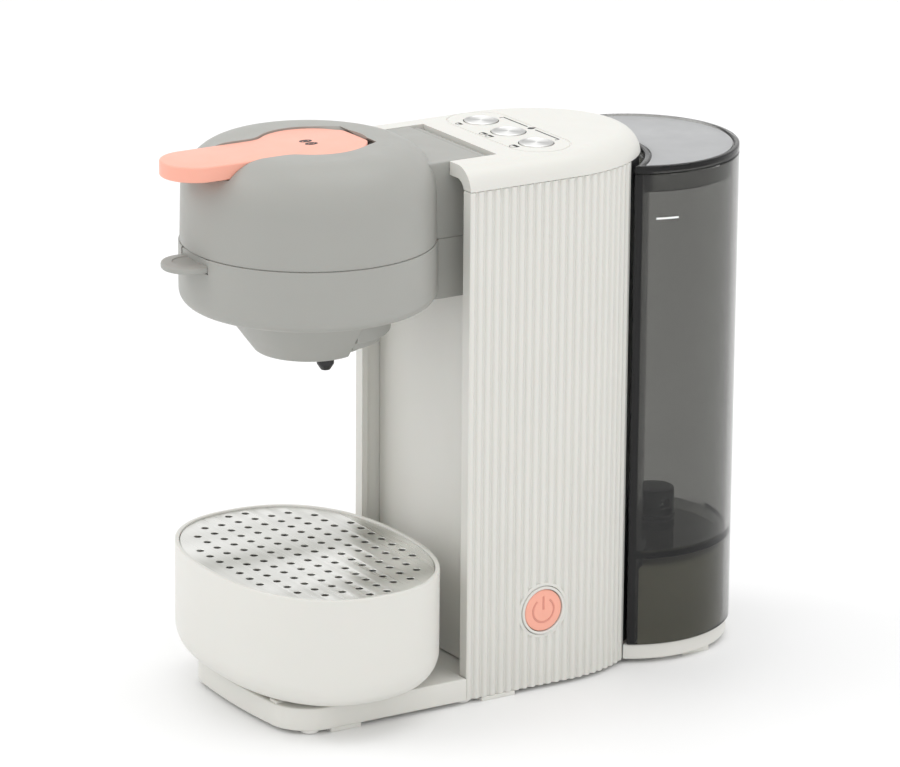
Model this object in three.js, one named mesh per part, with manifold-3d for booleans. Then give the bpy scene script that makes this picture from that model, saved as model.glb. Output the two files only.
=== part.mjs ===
// Pod coffee machine: a round brew head on a fluted column, a drip tray for two cups in front
// and a removable water tank behind. Millimetres, +Z up, front towards -Y, floor at z = 0.
// Everything is drawn about the brew head's vertical axis; the last group moves the origin to
// the middle of the footprint.
import * as THREE from "three";
import { mergeVertices } from "three/addons/utils/BufferGeometryUtils.js";
import Module from "manifold-3d";

const wasm = await Module();
wasm.setup();

// ---------- driving dimensions ----------
const GAP = 0.3; // least space between two separate pieces
const WALL = 2.5; // usual thickness of a moulded wall
const FAR = 300; // past the object in every direction, for cutting solids

const head = { radius: 59, bottom: 190.5, seam: 219.7, fillet: 7, wall: 3.5, floor: 3, mouth: 33 };
const lid = { radius: 58.4, drafted: 58, bottom: 220.3, top: 265, flat: 36, shoulder: 22, ceiling: 253 };
const neck = { half: 31.5, front: 40, rear: 80, top: 255.6 };
const hinge = { y: 76, z: 250.6, knuckle: 4, pin: 1.5, pinEnd: 37 };
const column = { half: 50.5, front: 55.3, noseY: 112, nose: 59.5, bottom: 2, seam: 245, top: 255.6 };
const shell = { lip: 6.3, lipDepth: 3, skin: 4, capFillet: 12, capSkin: 3 };
const flute = { pitch: 4.45, depth: 1.2, last: 150 };
const frontWall = { y: 66, thick: 2.5 };
const base = {
  half: 50.5, front: -38.5, bulge: 1.5, corner: 20,
  bottom: 2, top: 13, rearTop: 9.5, rearRadius: 48.5,
};
const frontTabs = { pitch: 16, half: 2.5, inset: 2, depth: 5 };
const footPads = { half: 5, places: [[45, -9, 16], [45.3, 73, 18], [40, 187, 15]] };
const screw = { x: 30, rows: [72, 108], head: 3.2, shank: 1.6, seat: 5.4, room: 0.35 };
const hoseTunnel = { half: 4.6, floor: 2.9, from: 134, to: 196 };
const tray = { half: 72, depth: 52.5, y: -1, power: 2.35, bottom: 14.5, top: 70, fillet: 16, wall: 3 };
const grille = { inset: 2.3, thick: 1, top: 69.2, pitchX: 9.2, pitchY: 9, hole: 1.8, margin: 7 };
const tank = { radius: 50, y: 176, noseGap: 2, wall: 2.5, bottom: 9.8, floor: 52, top: 239 };
const tankLid = { bottom: 239.3, top: 243, rim: 2.5, dish: 1, skirt: 230, plugWall: 1.8 };
const pedestal = { clearance: 1, top: 48, port: 5 };
const valve = { y: 192, bore: 3.9, hole: 6, flange: 10, stem: 2 };
const spring = { turns: 4, perTurn: 8, radius: 4.2, wire: 0.5, bottom: 60.5, top: 67.6 };
const spout = { topRadius: 41, bottomRadius: 24, bottom: 168, cutY: 7, bowlY: 6.5 };
const bowl = {
  bottom: 172.5, step: 176.5, shelf: 193.8, top: 196,
  foot: 28, side: 32, flange: 36, inside: 29.5, sump: 19.5, sumpBottom: 168.6,
};
const outlet = { x: 13, y: 1.4, radius: 4, bore: 1, tip: 160.6, taper: 3, collar: 170.3, collarTop: 171.5 };
const lever = {
  y: 2, disc: 25, half: 16, tipY: -58.6, blend: 12, bottom: 257.2, top: 264.4,
  pinY: 24, pinZ: 260.4, pin: 1.2, curl: 4, clearance: 0.4, swing: 60,
};
const podHolder = {
  rim: 44, recess: 32, top: 218.6, floor: 208, thick: 2,
  tab: 13, tabThick: 4, tabTip: -73, turn: -3,
};
const sieve = { radius: 28, thick: 0.9, hole: 2 };
const seal = { inner: 30, outer: 34.5, bottom: 219.2, top: 225.6 };
const latch = {
  x: 24, halfWidth: 3.5, pinY: -43.5, pinZ: 239, pin: 1.2, pinEnd: 31, lugInner: 28,
  front: -49, rear: -38.5, hookTop: 226.5, hookBottom: 223.5, keeperNose: 228, keeperTop: 230,
};
const keys = { pitch: 23.8, y: 106.9, radius: 8, top: 256.2, thick: 3.5, stem: 2.5, stemBottom: 243.2 };
const power = { y: 96.8, z: 39, radius: 10, ring: 11.6, ringFace: 51.3, face: 50.9, back: 46.8, stem: 4 };
const gland = { y: 100, z: 24, radius: 6, lip: 2, face: 53.5, inner: 43, bore: 3.4 };
const bracket = { outer: 37.4, y: 71, rear: 85, barY: 81.5, lugEnd: 83, bottom: 240 };
const chassisPlate = { half: 36, y: 118, thick: 2.5, top: 236, shelf: 232, shelfY: 88, window: 16 };
const boilerDrum = { y: 93.5, bottom: 112, top: 175, radius: 21, edge: 2, flange: 23, flangeZ: 144, port: 3 };
const pumpBody = {
  x: -16, y: 136.5, barrel: 9, bottom: 66, top: 130, port: 3,
  coilX: 16, coilY: 13, coilZ: [84, 112],
};
const pumpMounts = { radius: 12, height: 6, low: 71, high: 119 };
const meter = { x: 18, y: 136, radius: 11, bottom: 44, top: 58, port: 3 };
const board = { half: 30, y: 124, thick: 1.6, bottom: 150, top: 228 };
const keyBoardPlate = { half: 34, depth: 10, z: 236, thick: 1.6, switchRadius: 3, switchTop: 241.5 };
const hoseRadius = 3;

// ---------- materials ----------
const plastic = (color, roughness) => new THREE.MeshStandardMaterial({ color, roughness, metalness: 0 });
const white = plastic("#eeede8", 0.45);
const grey = plastic("#a9a9a3", 0.5);
const coral = plastic("#f7bba5", 0.45);
const black = plastic("#1b1b1c", 0.5);
const darkGrey = plastic("#3a3a3a", 0.5);
const metal = (color, roughness) => new THREE.MeshStandardMaterial({ color, roughness, metalness: 1 });
const steel = metal("#c4c4c0", 0.3);
const aluminium = metal("#b9bbbd", 0.4);
const smoke = plastic("#5a5a5c", 0.1);
smoke.transparent = true;
smoke.opacity = 0.5;
const silicone = plastic("#d9d5cb", 0.7);
const rubber = plastic("#2a2a2a", 0.8);
const boardGreen = plastic("#1f5a37", 0.5);

// ---------- solids ----------
// A closed three.js geometry as a manifold, turned to face outwards, and back again.
function solid(geometry) {
  const g = geometry.index ? geometry.toNonIndexed() : geometry.clone();
  g.deleteAttribute("normal");
  g.deleteAttribute("uv");
  const merged = mergeVertices(g, 1e-3);
  const vertProperties = new Float32Array(merged.attributes.position.array);
  const triangles = withoutSlivers(merged.index.array);
  const make = (triVerts) => new wasm.Manifold(new wasm.Mesh({ numProp: 3, vertProperties, triVerts }));
  const made = make(triangles);
  return made.volume() < 0 ? make(triangles.toReversed()) : made;
}

// Triangle indices without those that lost a side when vertices merged.
function withoutSlivers(index) {
  const kept = [];
  for (let i = 0; i < index.length; i += 3) {
    const [a, b, c] = index.slice(i, i + 3);
    const whole = a !== b && b !== c && c !== a;
    if (whole) kept.push(a, b, c);
  }
  return new Uint32Array(kept);
}

function geometryOf(made) {
  const mesh = made.getMesh();
  const g = new THREE.BufferGeometry();
  g.setAttribute("position", new THREE.BufferAttribute(mesh.vertProperties, 3));
  g.setIndex(new THREE.BufferAttribute(mesh.triVerts, 1));
  return g;
}

const join = (first, ...rest) => rest.reduce((a, b) => a.add(b), first);
const cut = (first, ...rest) => rest.reduce((a, b) => a.subtract(b), first);

// A flat outline, made of Vector2 points or a Shape, raised from z0 to z1.
function prism(outline, z0, z1, curveSegments = 8) {
  const drawn = Array.isArray(outline) ? new THREE.Shape(outline) : outline;
  const { shape: edge, holes } = drawn.extractPoints(curveSegments);
  const shape = new THREE.Shape(distinct(edge));
  shape.holes = holes.map((hole) => new THREE.Path(distinct(hole)));
  const g = new THREE.ExtrudeGeometry(shape, { depth: z1 - z0, bevelEnabled: false });
  return solid(g.translate(0, 0, z0));
}

// The points of a closed line without repeats.
function distinct(points) {
  const least = 2e-3;
  return points.filter((p, i) => p.distanceTo(points.at(i - 1)) > least);
}

function block(x0, x1, y0, y1, z0, z1) {
  const g = new THREE.BoxGeometry(x1 - x0, y1 - y0, z1 - z0);
  return solid(g.translate((x0 + x1) / 2, (y0 + y1) / 2, (z0 + z1) / 2));
}

// A solid of revolution about a vertical line. The profile is [radius, z] points.
function turned(profile, x = 0, y = 0, segments = 32) {
  const points = profile.map(([r, z]) => new THREE.Vector2(r, z));
  const closesOnAxis = profile[0][0] === 0 && profile[profile.length - 1][0] === 0;
  if (!closesOnAxis) points.push(points[0].clone());
  return solid(new THREE.LatheGeometry(points, segments).rotateX(Math.PI / 2).translate(x, y, 0));
}

const post = (radius, x, y, z0, z1, segments = 20) =>
  turned([[0, z0], [radius, z0], [radius, z1], [0, z1]], x, y, segments);

// A straight round bar along X.
function barX(radius, x0, x1, y, z, segments = 12) {
  const g = new THREE.CylinderGeometry(radius, radius, x1 - x0, segments);
  return solid(g.rotateZ(Math.PI / 2).translate((x0 + x1) / 2, y, z));
}

// Rings with the same number of points, joined one above the other and closed at both ends.
function loft(rings, heights) {
  const n = rings[0].length;
  const positions = rings.flatMap((ring, k) => ring.flatMap((p) => [p.x, p.y, heights[k]]));
  const faces = [];
  for (let k = 0; k + 1 < rings.length; k++)
    for (let i = 0; i < n; i++) {
      const j = (i + 1) % n;
      const [a, b, c, d] = [k * n + i, k * n + j, (k + 1) * n + j, (k + 1) * n + i];
      faces.push(a, b, c, a, c, d);
    }
  const top = (rings.length - 1) * n;
  const lowerCap = THREE.ShapeUtils.triangulateShape(rings[0], []);
  const upperCap = THREE.ShapeUtils.triangulateShape(rings.at(-1), []);
  for (const [a, b, c] of lowerCap) faces.push(a, c, b);
  for (const [a, b, c] of upperCap) faces.push(top + a, top + b, top + c);
  const g = new THREE.BufferGeometry();
  g.setAttribute("position", new THREE.Float32BufferAttribute(positions, 3));
  g.setIndex(faces);
  return solid(g);
}

// Points of an arc in the (radius, z) plane, angles in degrees from the +radius direction.
function arc(r, z, radius, from, to, steps) {
  return Array.from({ length: steps + 1 }, (_, i) => {
    const a = THREE.MathUtils.degToRad(from + ((to - from) * i) / steps);
    return [r + radius * Math.cos(a), z + radius * Math.sin(a)];
  });
}

// A solid of round section along a smooth curve through the points.
function bentRod(points, radius, stepsPerPoint = 2) {
  const extrudePath = new THREE.CatmullRomCurve3(points.map((p) => new THREE.Vector3(...p)));
  const section = new THREE.Shape().absarc(0, 0, radius, 0, 2 * Math.PI);
  const steps = points.length * stepsPerPoint;
  const options = { extrudePath, steps, curveSegments: 4, bevelEnabled: false };
  return solid(new THREE.ExtrudeGeometry(section, options));
}

// The same solid made for the right (side 1) and for the left (side -1).
const mirrored = (make) => join(make(1), make(-1));

// A block between two distances from the middle, on one side.
function sideBlock(side, near, distant, ...rest) {
  const [x0, x1] = [side * near, side * distant].sort((a, b) => a - b);
  return block(x0, x1, ...rest);
}

// ---------- outlines ----------
// A point of the column's rounded nose, by its angle from the +X side, at an inset.
function columnPoint(angle, inset) {
  return new THREE.Vector2(
    (column.half - inset) * Math.cos(angle),
    column.noseY + (column.nose - inset) * Math.sin(angle),
  );
}

// The whole column outline, straight sides and a half-ellipse nose, at an inset.
function columnOutline(inset, frontY, steps = 20) {
  const nose = Array.from({ length: steps + 1 }, (_, i) => columnPoint((Math.PI * i) / steps, inset));
  const x = column.half - inset;
  return [new THREE.Vector2(-x, frontY), new THREE.Vector2(x, frontY), ...nose];
}

// The angle at which the nose reaches a given y.
const noseAngle = (y) => Math.asin((y - column.noseY) / column.nose);

// Superellipse used by the tray and everything that fits it.
function trayOutline(inset, steps = 40) {
  return Array.from({ length: steps }, (_, i) => {
    const a = (2 * Math.PI * i) / steps;
    const along = (c, size) => Math.sign(c) * size * Math.abs(c) ** (2 / tray.power);
    const x = along(Math.cos(a), tray.half - inset);
    const y = along(Math.sin(a), tray.depth - inset);
    return new THREE.Vector2(x, tray.y + y);
  });
}

// Round tank section with the column's nose taken out of it, between two heights.
function tankSection(inset, z0, z1) {
  const round = post(tank.radius - inset, 0, tank.y, z0, z1, 40);
  const nose = columnOutline(-tank.noseGap - inset, column.noseY, 24);
  return cut(round, prism(nose, z0 - 1, z1 + 1));
}

// Lengths along the column's side, from its front edge, to points on the nose.
const noseSteps = 60;
const noseLengths = [{ length: column.noseY - column.front, angle: 0 }];
for (let i = 1; i <= noseSteps; i++) {
  const last = noseLengths.at(-1);
  const angle = (noseAngle(flute.last) * i) / noseSteps;
  const step = columnPoint(angle, 0).distanceTo(columnPoint(last.angle, 0));
  noseLengths.push({ length: last.length + step, angle });
}

// The point a distance along the side and a depth below its surface.
function sidePoint(distance, depth) {
  const i = noseLengths.findIndex((d) => d.length >= distance);
  if (i === 0) return new THREE.Vector2(column.half - depth, column.front + distance);
  const [a, b] = i < 0 ? noseLengths.slice(-2) : noseLengths.slice(i - 1, i + 1);
  const share = (distance - a.length) / (b.length - a.length);
  return columnPoint(a.angle + share * (b.angle - a.angle), depth);
}

// The fluted line of a side panel: flat-topped ribs with a round-bottomed groove between them.
function flutedLine() {
  const { length } = noseLengths.at(-1);
  const count = Math.round(length / flute.pitch);
  const groove = [
    { share: 0.5, depth: 0 },
    { share: 0.64, depth: flute.depth },
    { share: 0.86, depth: flute.depth },
    { share: 1, depth: 0 },
  ];
  const points = [sidePoint(0, 0)];
  for (let i = 0; i < count; i++)
    for (const { share, depth } of groove)
      points.push(sidePoint(((i + share) * length) / count, depth));
  return points;
}

// ---------- base ----------
const screwPlaces = screw.rows.flatMap((y) => [[-screw.x, y], [screw.x, y]]);

function apron() {
  const { half, front, bulge, corner } = base;
  const outline = new THREE.Shape()
    .moveTo(half, column.front - GAP)
    .lineTo(-half, column.front - GAP)
    .lineTo(-half, front + corner)
    .absarc(-half + corner, front + corner, corner, Math.PI, 1.5 * Math.PI, false)
    .quadraticCurveTo(0, front - 2 * bulge, half - corner, front)
    .absarc(half - corner, front + corner, corner, 1.5 * Math.PI, 2 * Math.PI, false);
  return prism(outline, base.bottom, base.top, 6);
}

// Round foot under the water tank, hollowed to follow the column's nose.
function rearRing() {
  const round = post(base.rearRadius, 0, tank.y, base.bottom, base.rearTop, 40);
  return cut(round, prism(columnOutline(-GAP, column.front, 20), 0, FAR));
}

// The part of the base that closes the column from below, and its tongue to the rear ring.
function underColumn() {
  const inner = column.half - shell.lip - GAP;
  const lipEnd = column.front + shell.lipDepth + GAP;
  const tongueHalf = 26;
  return join(
    block(-inner, inner, column.front - 2, frontWall.y + shell.skin, base.bottom, base.top),
    prism(columnOutline(shell.skin + GAP, lipEnd, 20), base.bottom, base.top),
    block(-tongueHalf, tongueHalf, 150, 180, base.bottom, base.rearTop),
  );
}

function screwHole([x, y]) {
  const counterbore = post(screw.head + screw.room, x, y, 0, screw.seat + 0.9, 12);
  const clearance = post(screw.shank + screw.room, x, y, screw.seat - 0.4, FAR, 12);
  return join(counterbore, clearance);
}

// Moulded pads that the machine stands on.
function feet() {
  const pad = (x, y, length) =>
    block(x - footPads.half, x + footPads.half, y - length / 2, y + length / 2, 0, base.bottom + 1);
  return footPads.places.flatMap(([x, y, length]) => [pad(x, y, length), pad(-x, y, length)]);
}

// Small tabs along the front rim that the drip tray rests over.
function frontRimTabs() {
  const { pitch, half, inset, depth } = frontTabs;
  const y = base.front + inset;
  return [-2, -1, 0, 1, 2].map((i) =>
    block(i * pitch - half, i * pitch + half, y, y + depth, base.top - 1, tray.bottom - GAP),
  );
}

// Space for the lower edges of the side panels, above the feet at their front corners.
function panelRoom() {
  const [near, low] = [column.half - shell.skin - GAP, column.bottom - GAP];
  return mirrored((side) => sideBlock(side, near, FAR, column.front - GAP, column.noseY, low, FAR));
}

function basePlate() {
  const { half, floor, from, to } = hoseTunnel;
  const plate = join(apron(), underColumn(), rearRing(), ...feet(), ...frontRimTabs());
  const tunnel = block(-half, half, from, to, floor, FAR);
  return cut(plate, panelRoom(), tunnel, ...screwPlaces.map(screwHole));
}

function baseScrew([x, y]) {
  const { head: headRadius, shank, seat } = screw;
  const [bottom, top] = [seat - 2.8, base.top + 2];
  const profile = [
    [0, bottom], [headRadius, bottom], [headRadius, seat], [shank, seat], [shank, top], [0, top],
  ];
  return turned(profile, x, y, 8);
}

// Plinth that the water tank's skirt drops over.
function tankPedestal() {
  const [low, high] = [base.rearTop + GAP, pedestal.top];
  const inset = tank.wall + pedestal.clearance;
  const outer = tankSection(inset, low, high);
  const hollow = tankSection(inset + WALL, low - 1, high - WALL);
  return cut(outer, hollow, post(pedestal.port, 0, valve.y, high - 2 * WALL, FAR, 16));
}

// ---------- column ----------
function sidePanel(side) {
  const end = noseAngle(flute.last);
  const innerSteps = 8;
  const inner = Array.from({ length: innerSteps + 1 }, (_, i) =>
    columnPoint(end * (1 - i / innerSteps), shell.skin),
  );
  const lipEnd = column.front + shell.lipDepth;
  const lip = [
    new THREE.Vector2(column.half - shell.skin, lipEnd),
    new THREE.Vector2(column.half - shell.lip, lipEnd),
    new THREE.Vector2(column.half - shell.lip, column.front),
  ];
  const outline = [...flutedLine(), ...inner, ...lip].map((p) => new THREE.Vector2(side * p.x, p.y));
  return prism(outline, column.bottom, column.seam - GAP);
}

const sidePanelRight = () => cut(sidePanel(1), barX(power.ring + GAP, 0, FAR, power.y, power.z, 24));
const sidePanelLeft = () => cut(sidePanel(-1), barX(gland.radius + GAP, -FAR, 0, gland.y, gland.z, 16));

// Inner wall behind the column's front edges, open at the top for the neck.
function frontWallPlate() {
  const x = column.half - shell.skin - GAP;
  const shoulder = column.half - shell.capFillet;
  const [high, side] = [column.top - shell.capSkin - GAP, column.seam - 3];
  const [opening, sill] = [neck.half + 0.6, head.bottom - GAP];
  const rightHalf = [[opening, sill], [opening, high], [shoulder, high], [x, side], [x, base.top + GAP]];
  const leftHalf = rightHalf.map(([a, z]) => [-a, z]).reverse();
  const outline = [...rightHalf, ...leftHalf].map(([a, z]) => new THREE.Vector2(a, z));
  const options = { depth: frontWall.thick, bevelEnabled: false };
  const g = new THREE.ExtrudeGeometry(new THREE.Shape(outline), options);
  return solid(g.rotateX(Math.PI / 2).translate(0, frontWall.y + frontWall.thick, 0));
}

// Plain strip that closes the nose between the two fluted panels.
function rearCover() {
  const [low, high] = [base.rearTop + GAP, column.seam - GAP];
  const outside = prism(columnOutline(0.6, column.noseY, 32), low, high);
  const inside = prism(columnOutline(0.6 + WALL, column.noseY, 32), low - 1, high + 1);
  return cut(outside, inside).intersect(block(-FAR, FAR, flute.last + GAP, FAR, 0, FAR));
}

// Rounded roof of the column: rings of its outline drawn in along a quarter circle.
function roof(inset, skin, frontY) {
  const radius = shell.capFillet - skin;
  const centre = column.top - shell.capFillet;
  const start = Math.asin((column.seam - centre) / shell.capFillet);
  const steps = 5;
  const rings = [];
  const heights = [];
  for (let i = 0; i <= steps; i++) {
    const a = start + ((Math.PI / 2 - start) * i) / steps;
    rings.push(columnOutline(inset + radius * (1 - Math.cos(a)), frontY));
    heights.push(centre + radius * Math.sin(a));
  }
  if (skin > 0) {
    rings.unshift(columnOutline(inset, frontY));
    heights.unshift(column.seam - 5);
  }
  return loft(rings, heights);
}

function columnCap() {
  const { front, seam } = column;
  const ahead = front - 10;
  const before = (y) => block(-FAR, FAR, 0, y, 0, FAR);
  const outer = cut(roof(0, 0, ahead), before(front));
  const hollow = cut(roof(shell.capSkin, shell.capSkin, ahead), before(front + shell.lipDepth));
  const mouth = roof(shell.lip, shell.lip, ahead);
  const notchHalf = neck.half + 0.5;
  const notch = block(-notchHalf, notchHalf, 0, neck.rear + 0.4, seam - 20, FAR);
  const keyHoles = [-1, 0, 1].map((i) => post(keys.radius + 0.4, i * keys.pitch, keys.y, 200, FAR, 24));
  return cut(outer, hollow, mouth, notch, ...keyHoles);
}

// Steel saddle inside the column that holds the lid's hinge pin at both ends.
function hingeBracket() {
  const { outer, y, rear, barY, lugEnd, bottom } = bracket;
  const high = column.top - shell.capSkin - GAP;
  const lugs = mirrored((side) => sideBlock(side, neck.half + 0.9, outer, y, lugEnd, bottom, high));
  const bar = block(-outer, outer, barY, rear, bottom, high);
  return cut(join(lugs, bar), barX(hinge.pin + 0.15, -FAR, FAR, hinge.y, hinge.z));
}

// ---------- works inside the column ----------
function chassis() {
  const { half, y, thick, top, shelf, shelfY, window } = chassisPlate;
  const low = base.top + GAP;
  const back = block(-half, half, y, y + thick, low, top);
  const foot = block(-half, half, frontWall.y + frontWall.thick + 0.5, y + 1, low, low + 2.7);
  const keyShelf = block(-half, half, shelfY, y + 1, shelf, shelf + thick);
  const cableWindow = block(-window, window, y - 8, y + 12, 150, 200);
  const screwHoles = screwPlaces.map(([a, b]) => post(screw.shank + GAP, a, b, 10, 20, 12));
  return cut(join(back, foot, keyShelf), cableWindow, ...screwHoles);
}

function boiler() {
  const { y, bottom, top, radius, edge, flange, flangeZ, port } = boilerDrum;
  const profile = [
    [0, bottom], [radius - edge, bottom], [radius, bottom + edge + 1],
    [radius, top - edge - 1], [radius - edge, top], [0, top],
  ];
  const outletPort = post(port, 0, y, top - 5, top + 6, 8);
  const inletPort = post(port, -10, y, bottom - 6, bottom + 2, 8);
  return join(turned(profile, 0, y, 20), post(flange, 0, y, flangeZ - 2, flangeZ + 2), outletPort, inletPort);
}

// Vibration pump: a long barrel through a square coil.
function pump() {
  const { x, y, barrel, bottom, top, coilX, coilY, coilZ, port } = pumpBody;
  return join(
    block(x - coilX, x + coilX, y - coilY, y + coilY, ...coilZ),
    post(barrel, x, y, bottom, top, 16),
    post(port, x, y, bottom - 6, top + 7, 10),
  );
}

function pumpMount(z) {
  const { x, y, barrel } = pumpBody;
  const { radius, height } = pumpMounts;
  return cut(post(radius, x, y, z, z + height, 16), post(barrel + GAP, x, y, z - 1, z + height + 1, 16));
}

function flowMeter() {
  const { x, y, radius, bottom, top, port } = meter;
  const plug = block(x + 8, x + 16, y - 3, y + 3, bottom + 4, bottom + 10);
  return join(post(radius, x, y, bottom, top), post(port, x, y, top, top + 8, 10), plug);
}

function controlBoard() {
  const { half, y, thick, bottom, top } = board;
  const mounted = (x0, x1, height, z0, z1) => block(x0, x1, y + 1, y + height, z0, z1);
  const relay = mounted(-24, -6, 13, 156, 172);
  const transformer = mounted(2, 24, 15, 180, 200);
  const connector = mounted(-20, -4, 8, 205, 219);
  const capacitor = post(5, 14, y + 6, 206, 222, 10);
  return join(block(-half, half, y, y + thick, bottom, top), relay, transformer, connector, capacitor);
}

function keyBoard() {
  const { half, depth, z, thick, switchRadius, switchTop } = keyBoardPlate;
  const plate = block(-half, half, keys.y - depth, keys.y + depth, z, z + thick);
  const switches = [-1, 0, 1].map((i) => post(switchRadius, i * keys.pitch, keys.y, z + 1, switchTop, 10));
  return join(plate, ...switches);
}

// Each hose runs straight for a little way at both ends and stops just short of its ports.
const hoses = {
  hose_tank_to_meter: [
    [0, valve.y, 43.6], [0, valve.y, 36], [0, valve.y, 18], [0, 189, 9.5], [0, 181, 6.5], [0, 156, 6.5],
    [0, 146, 7.8], [2, 141, 16], [10, 137, 28], [meter.x, meter.y, 37], [meter.x, meter.y, 43.6],
  ],
  hose_meter_to_pump: [
    [meter.x, meter.y, 66.5], [meter.x, meter.y, 70], [11, 136.5, 75], [2, 137, 69], [0.5, 137, 56],
    [-5, 137, 47.5], [-13, 136.5, 49], [pumpBody.x, pumpBody.y, 55], [pumpBody.x, pumpBody.y, 59.6],
  ],
  hose_pump_to_boiler: [
    [pumpBody.x, pumpBody.y, 137.4], [-16.5, 136.5, 141], [-27, 133, 145], [-39.5, 122, 140], [-41, 108, 125],
    [-37, 100, 108], [-24, 94, 97.5], [-11, boilerDrum.y, 99], [-10, boilerDrum.y, 105.5],
  ],
  hose_boiler_to_head: [
    [0, boilerDrum.y, 181.4], [0, boilerDrum.y, 188], [0, 88, 200], [0, 76, 205], [0, 62, 205], [0, 50, 205],
  ],
};

function powerSwitch() {
  const half = 9;
  return block(28, 41, power.y - half, power.y + half, power.z - half, power.z + half);
}

const powerBezel = () =>
  cut(
    barX(power.ring, 45.5, power.ringFace, power.y, power.z, 32),
    barX(power.radius + GAP, 0, FAR, power.y, power.z, 32),
  );

const powerButton = () =>
  join(
    barX(power.radius, power.back, power.face, power.y, power.z, 28),
    barX(power.stem, 43, power.back + 0.2, power.y, power.z),
  );

function cordGland() {
  const { y, z, radius, lip, face, inner, bore } = gland;
  const sleeve = barX(radius, -52, -inner, y, z, 16);
  const collar = barX(radius + lip, -face, -column.half - GAP, y, z, 16);
  return cut(join(sleeve, collar), barX(bore, -FAR, 0, y, z));
}

// One push key: a thin spun disc on a stem.
function key(i) {
  const { radius, top, thick, stem, stemBottom } = keys;
  const x = i * keys.pitch;
  const profile = [
    [0, top - thick], [radius, top - thick], [radius, top - 0.4], [radius - 0.5, top], [0, top],
  ];
  return join(turned(profile, x, keys.y, 24), post(stem, x, keys.y, stemBottom, top - 3, 10));
}

// ---------- brew head ----------
// The outside of the round cup, grown by a clearance when it makes room for itself.
function headCup(clearance = 0) {
  const { radius, bottom, seam, fillet } = head;
  const corner = arc(radius - fillet, bottom + fillet, fillet + clearance, -90, 0, 4);
  const top = seam + clearance;
  return turned([[0, bottom - clearance], ...corner, [radius + clearance, top], [0, top]]);
}

function headHollow() {
  const { radius, bottom, wall, floor } = head;
  const shelf = podHolder.top - podHolder.thick - 2.6;
  const [low, inner] = [bottom + floor, radius - wall];
  return turned([[0, low], [inner - 4, low], [inner, low + 4], [inner, shelf], [0, shelf]]);
}

// Box-shaped neck that carries the cup from the column, with a duct through it for the hose.
function headNeck() {
  const { bottom, seam, floor } = head;
  const outside = block(-neck.half, neck.half, neck.front, neck.rear + 4, bottom + 0.5, seam);
  const half = neck.half - WALL;
  const duct = block(-half, half, 0, FAR, bottom + floor, seam - WALL);
  return cut(outside, duct, headCup(GAP));
}

// The two hooks' keepers, standing up inside the lid.
function latchKeepers() {
  const { x, halfWidth, keeperNose, keeperTop } = latch;
  const between = [x - halfWidth, x + halfWidth];
  return mirrored((side) =>
    join(
      sideBlock(side, ...between, -43.9, -41.4, head.seam - 1, keeperTop),
      sideBlock(side, ...between, -45.6, -42, keeperNose, keeperTop),
    ),
  );
}

function headBody() {
  const mouth = post(podHolder.rim + 0.8, 0, 0, 200, 230, 40);
  const half = podHolder.tab + 0.5;
  const tabBottom = podHolder.top - 1 - podHolder.tabThick;
  const tabSlot = block(-half, half, -80, -30, tabBottom - 0.6, FAR).rotate([0, 0, podHolder.turn]);
  const bowlHole = post(head.mouth, 0, spout.bowlY, 180, 200, 32);
  const hoseHole = block(-hoseRadius - 0.6, hoseRadius + 0.6, 45, 62, 201.4, 208.6);
  const shellOnly = cut(headCup(), headHollow(), mouth, bowlHole, tabSlot, hoseHole);
  return join(shellOnly, latchKeepers());
}

// Removable dish for the coffee pad, with a rounded tab to lift it by.
function podHolderPiece() {
  const { rim, recess, top, floor, thick, tab, tabThick, tabTip, turn } = podHolder;
  const under = top - 4;
  const dish = turned([
    [2, floor - thick], [recess + thick, floor - thick], [recess + thick, under], [rim, under],
    [rim, top - 1], [recess + 1.5, top - 1], [recess, floor], [2, floor],
  ]);
  const handle = new THREE.Shape()
    .moveTo(tab, -rim + 5)
    .lineTo(tab, tabTip + tab)
    .absarc(0, tabTip + tab, tab, 0, -Math.PI, true)
    .lineTo(-tab, -rim + 5);
  return join(dish, prism(handle, top - 1 - tabThick, top - 1, 6).rotate([0, 0, turn]));
}

function podSieve() {
  const low = podHolder.floor + GAP;
  return cut(post(sieve.radius, 0, 0, low, low + sieve.thick, 32), post(sieve.hole, 0, 0, 0, FAR, 8));
}

// Stepped bowl under the pod that collects the coffee, with a small sump behind the shroud.
function brewBowl() {
  const { bottom, step, shelf, top, foot, side, flange, inside, sump, sumpBottom } = bowl;
  const profile = [
    [0, bottom], [foot - 1, bottom], [foot, bottom + 1], [foot, step], [side - 1, step], [side, step + 1],
    [side, shelf], [flange, shelf], [flange, top], [inside, top], [inside, step + WALL], [0, bottom + 3],
  ];
  const stub = post(sump, 0, spout.bowlY, sumpBottom, bottom + 1, 28);
  const shroudRoom = block(-FAR, FAR, -FAR, spout.cutY + GAP, 0, bottom);
  return join(turned(profile, 0, spout.bowlY, 28), cut(stub, shroudRoom));
}

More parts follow.
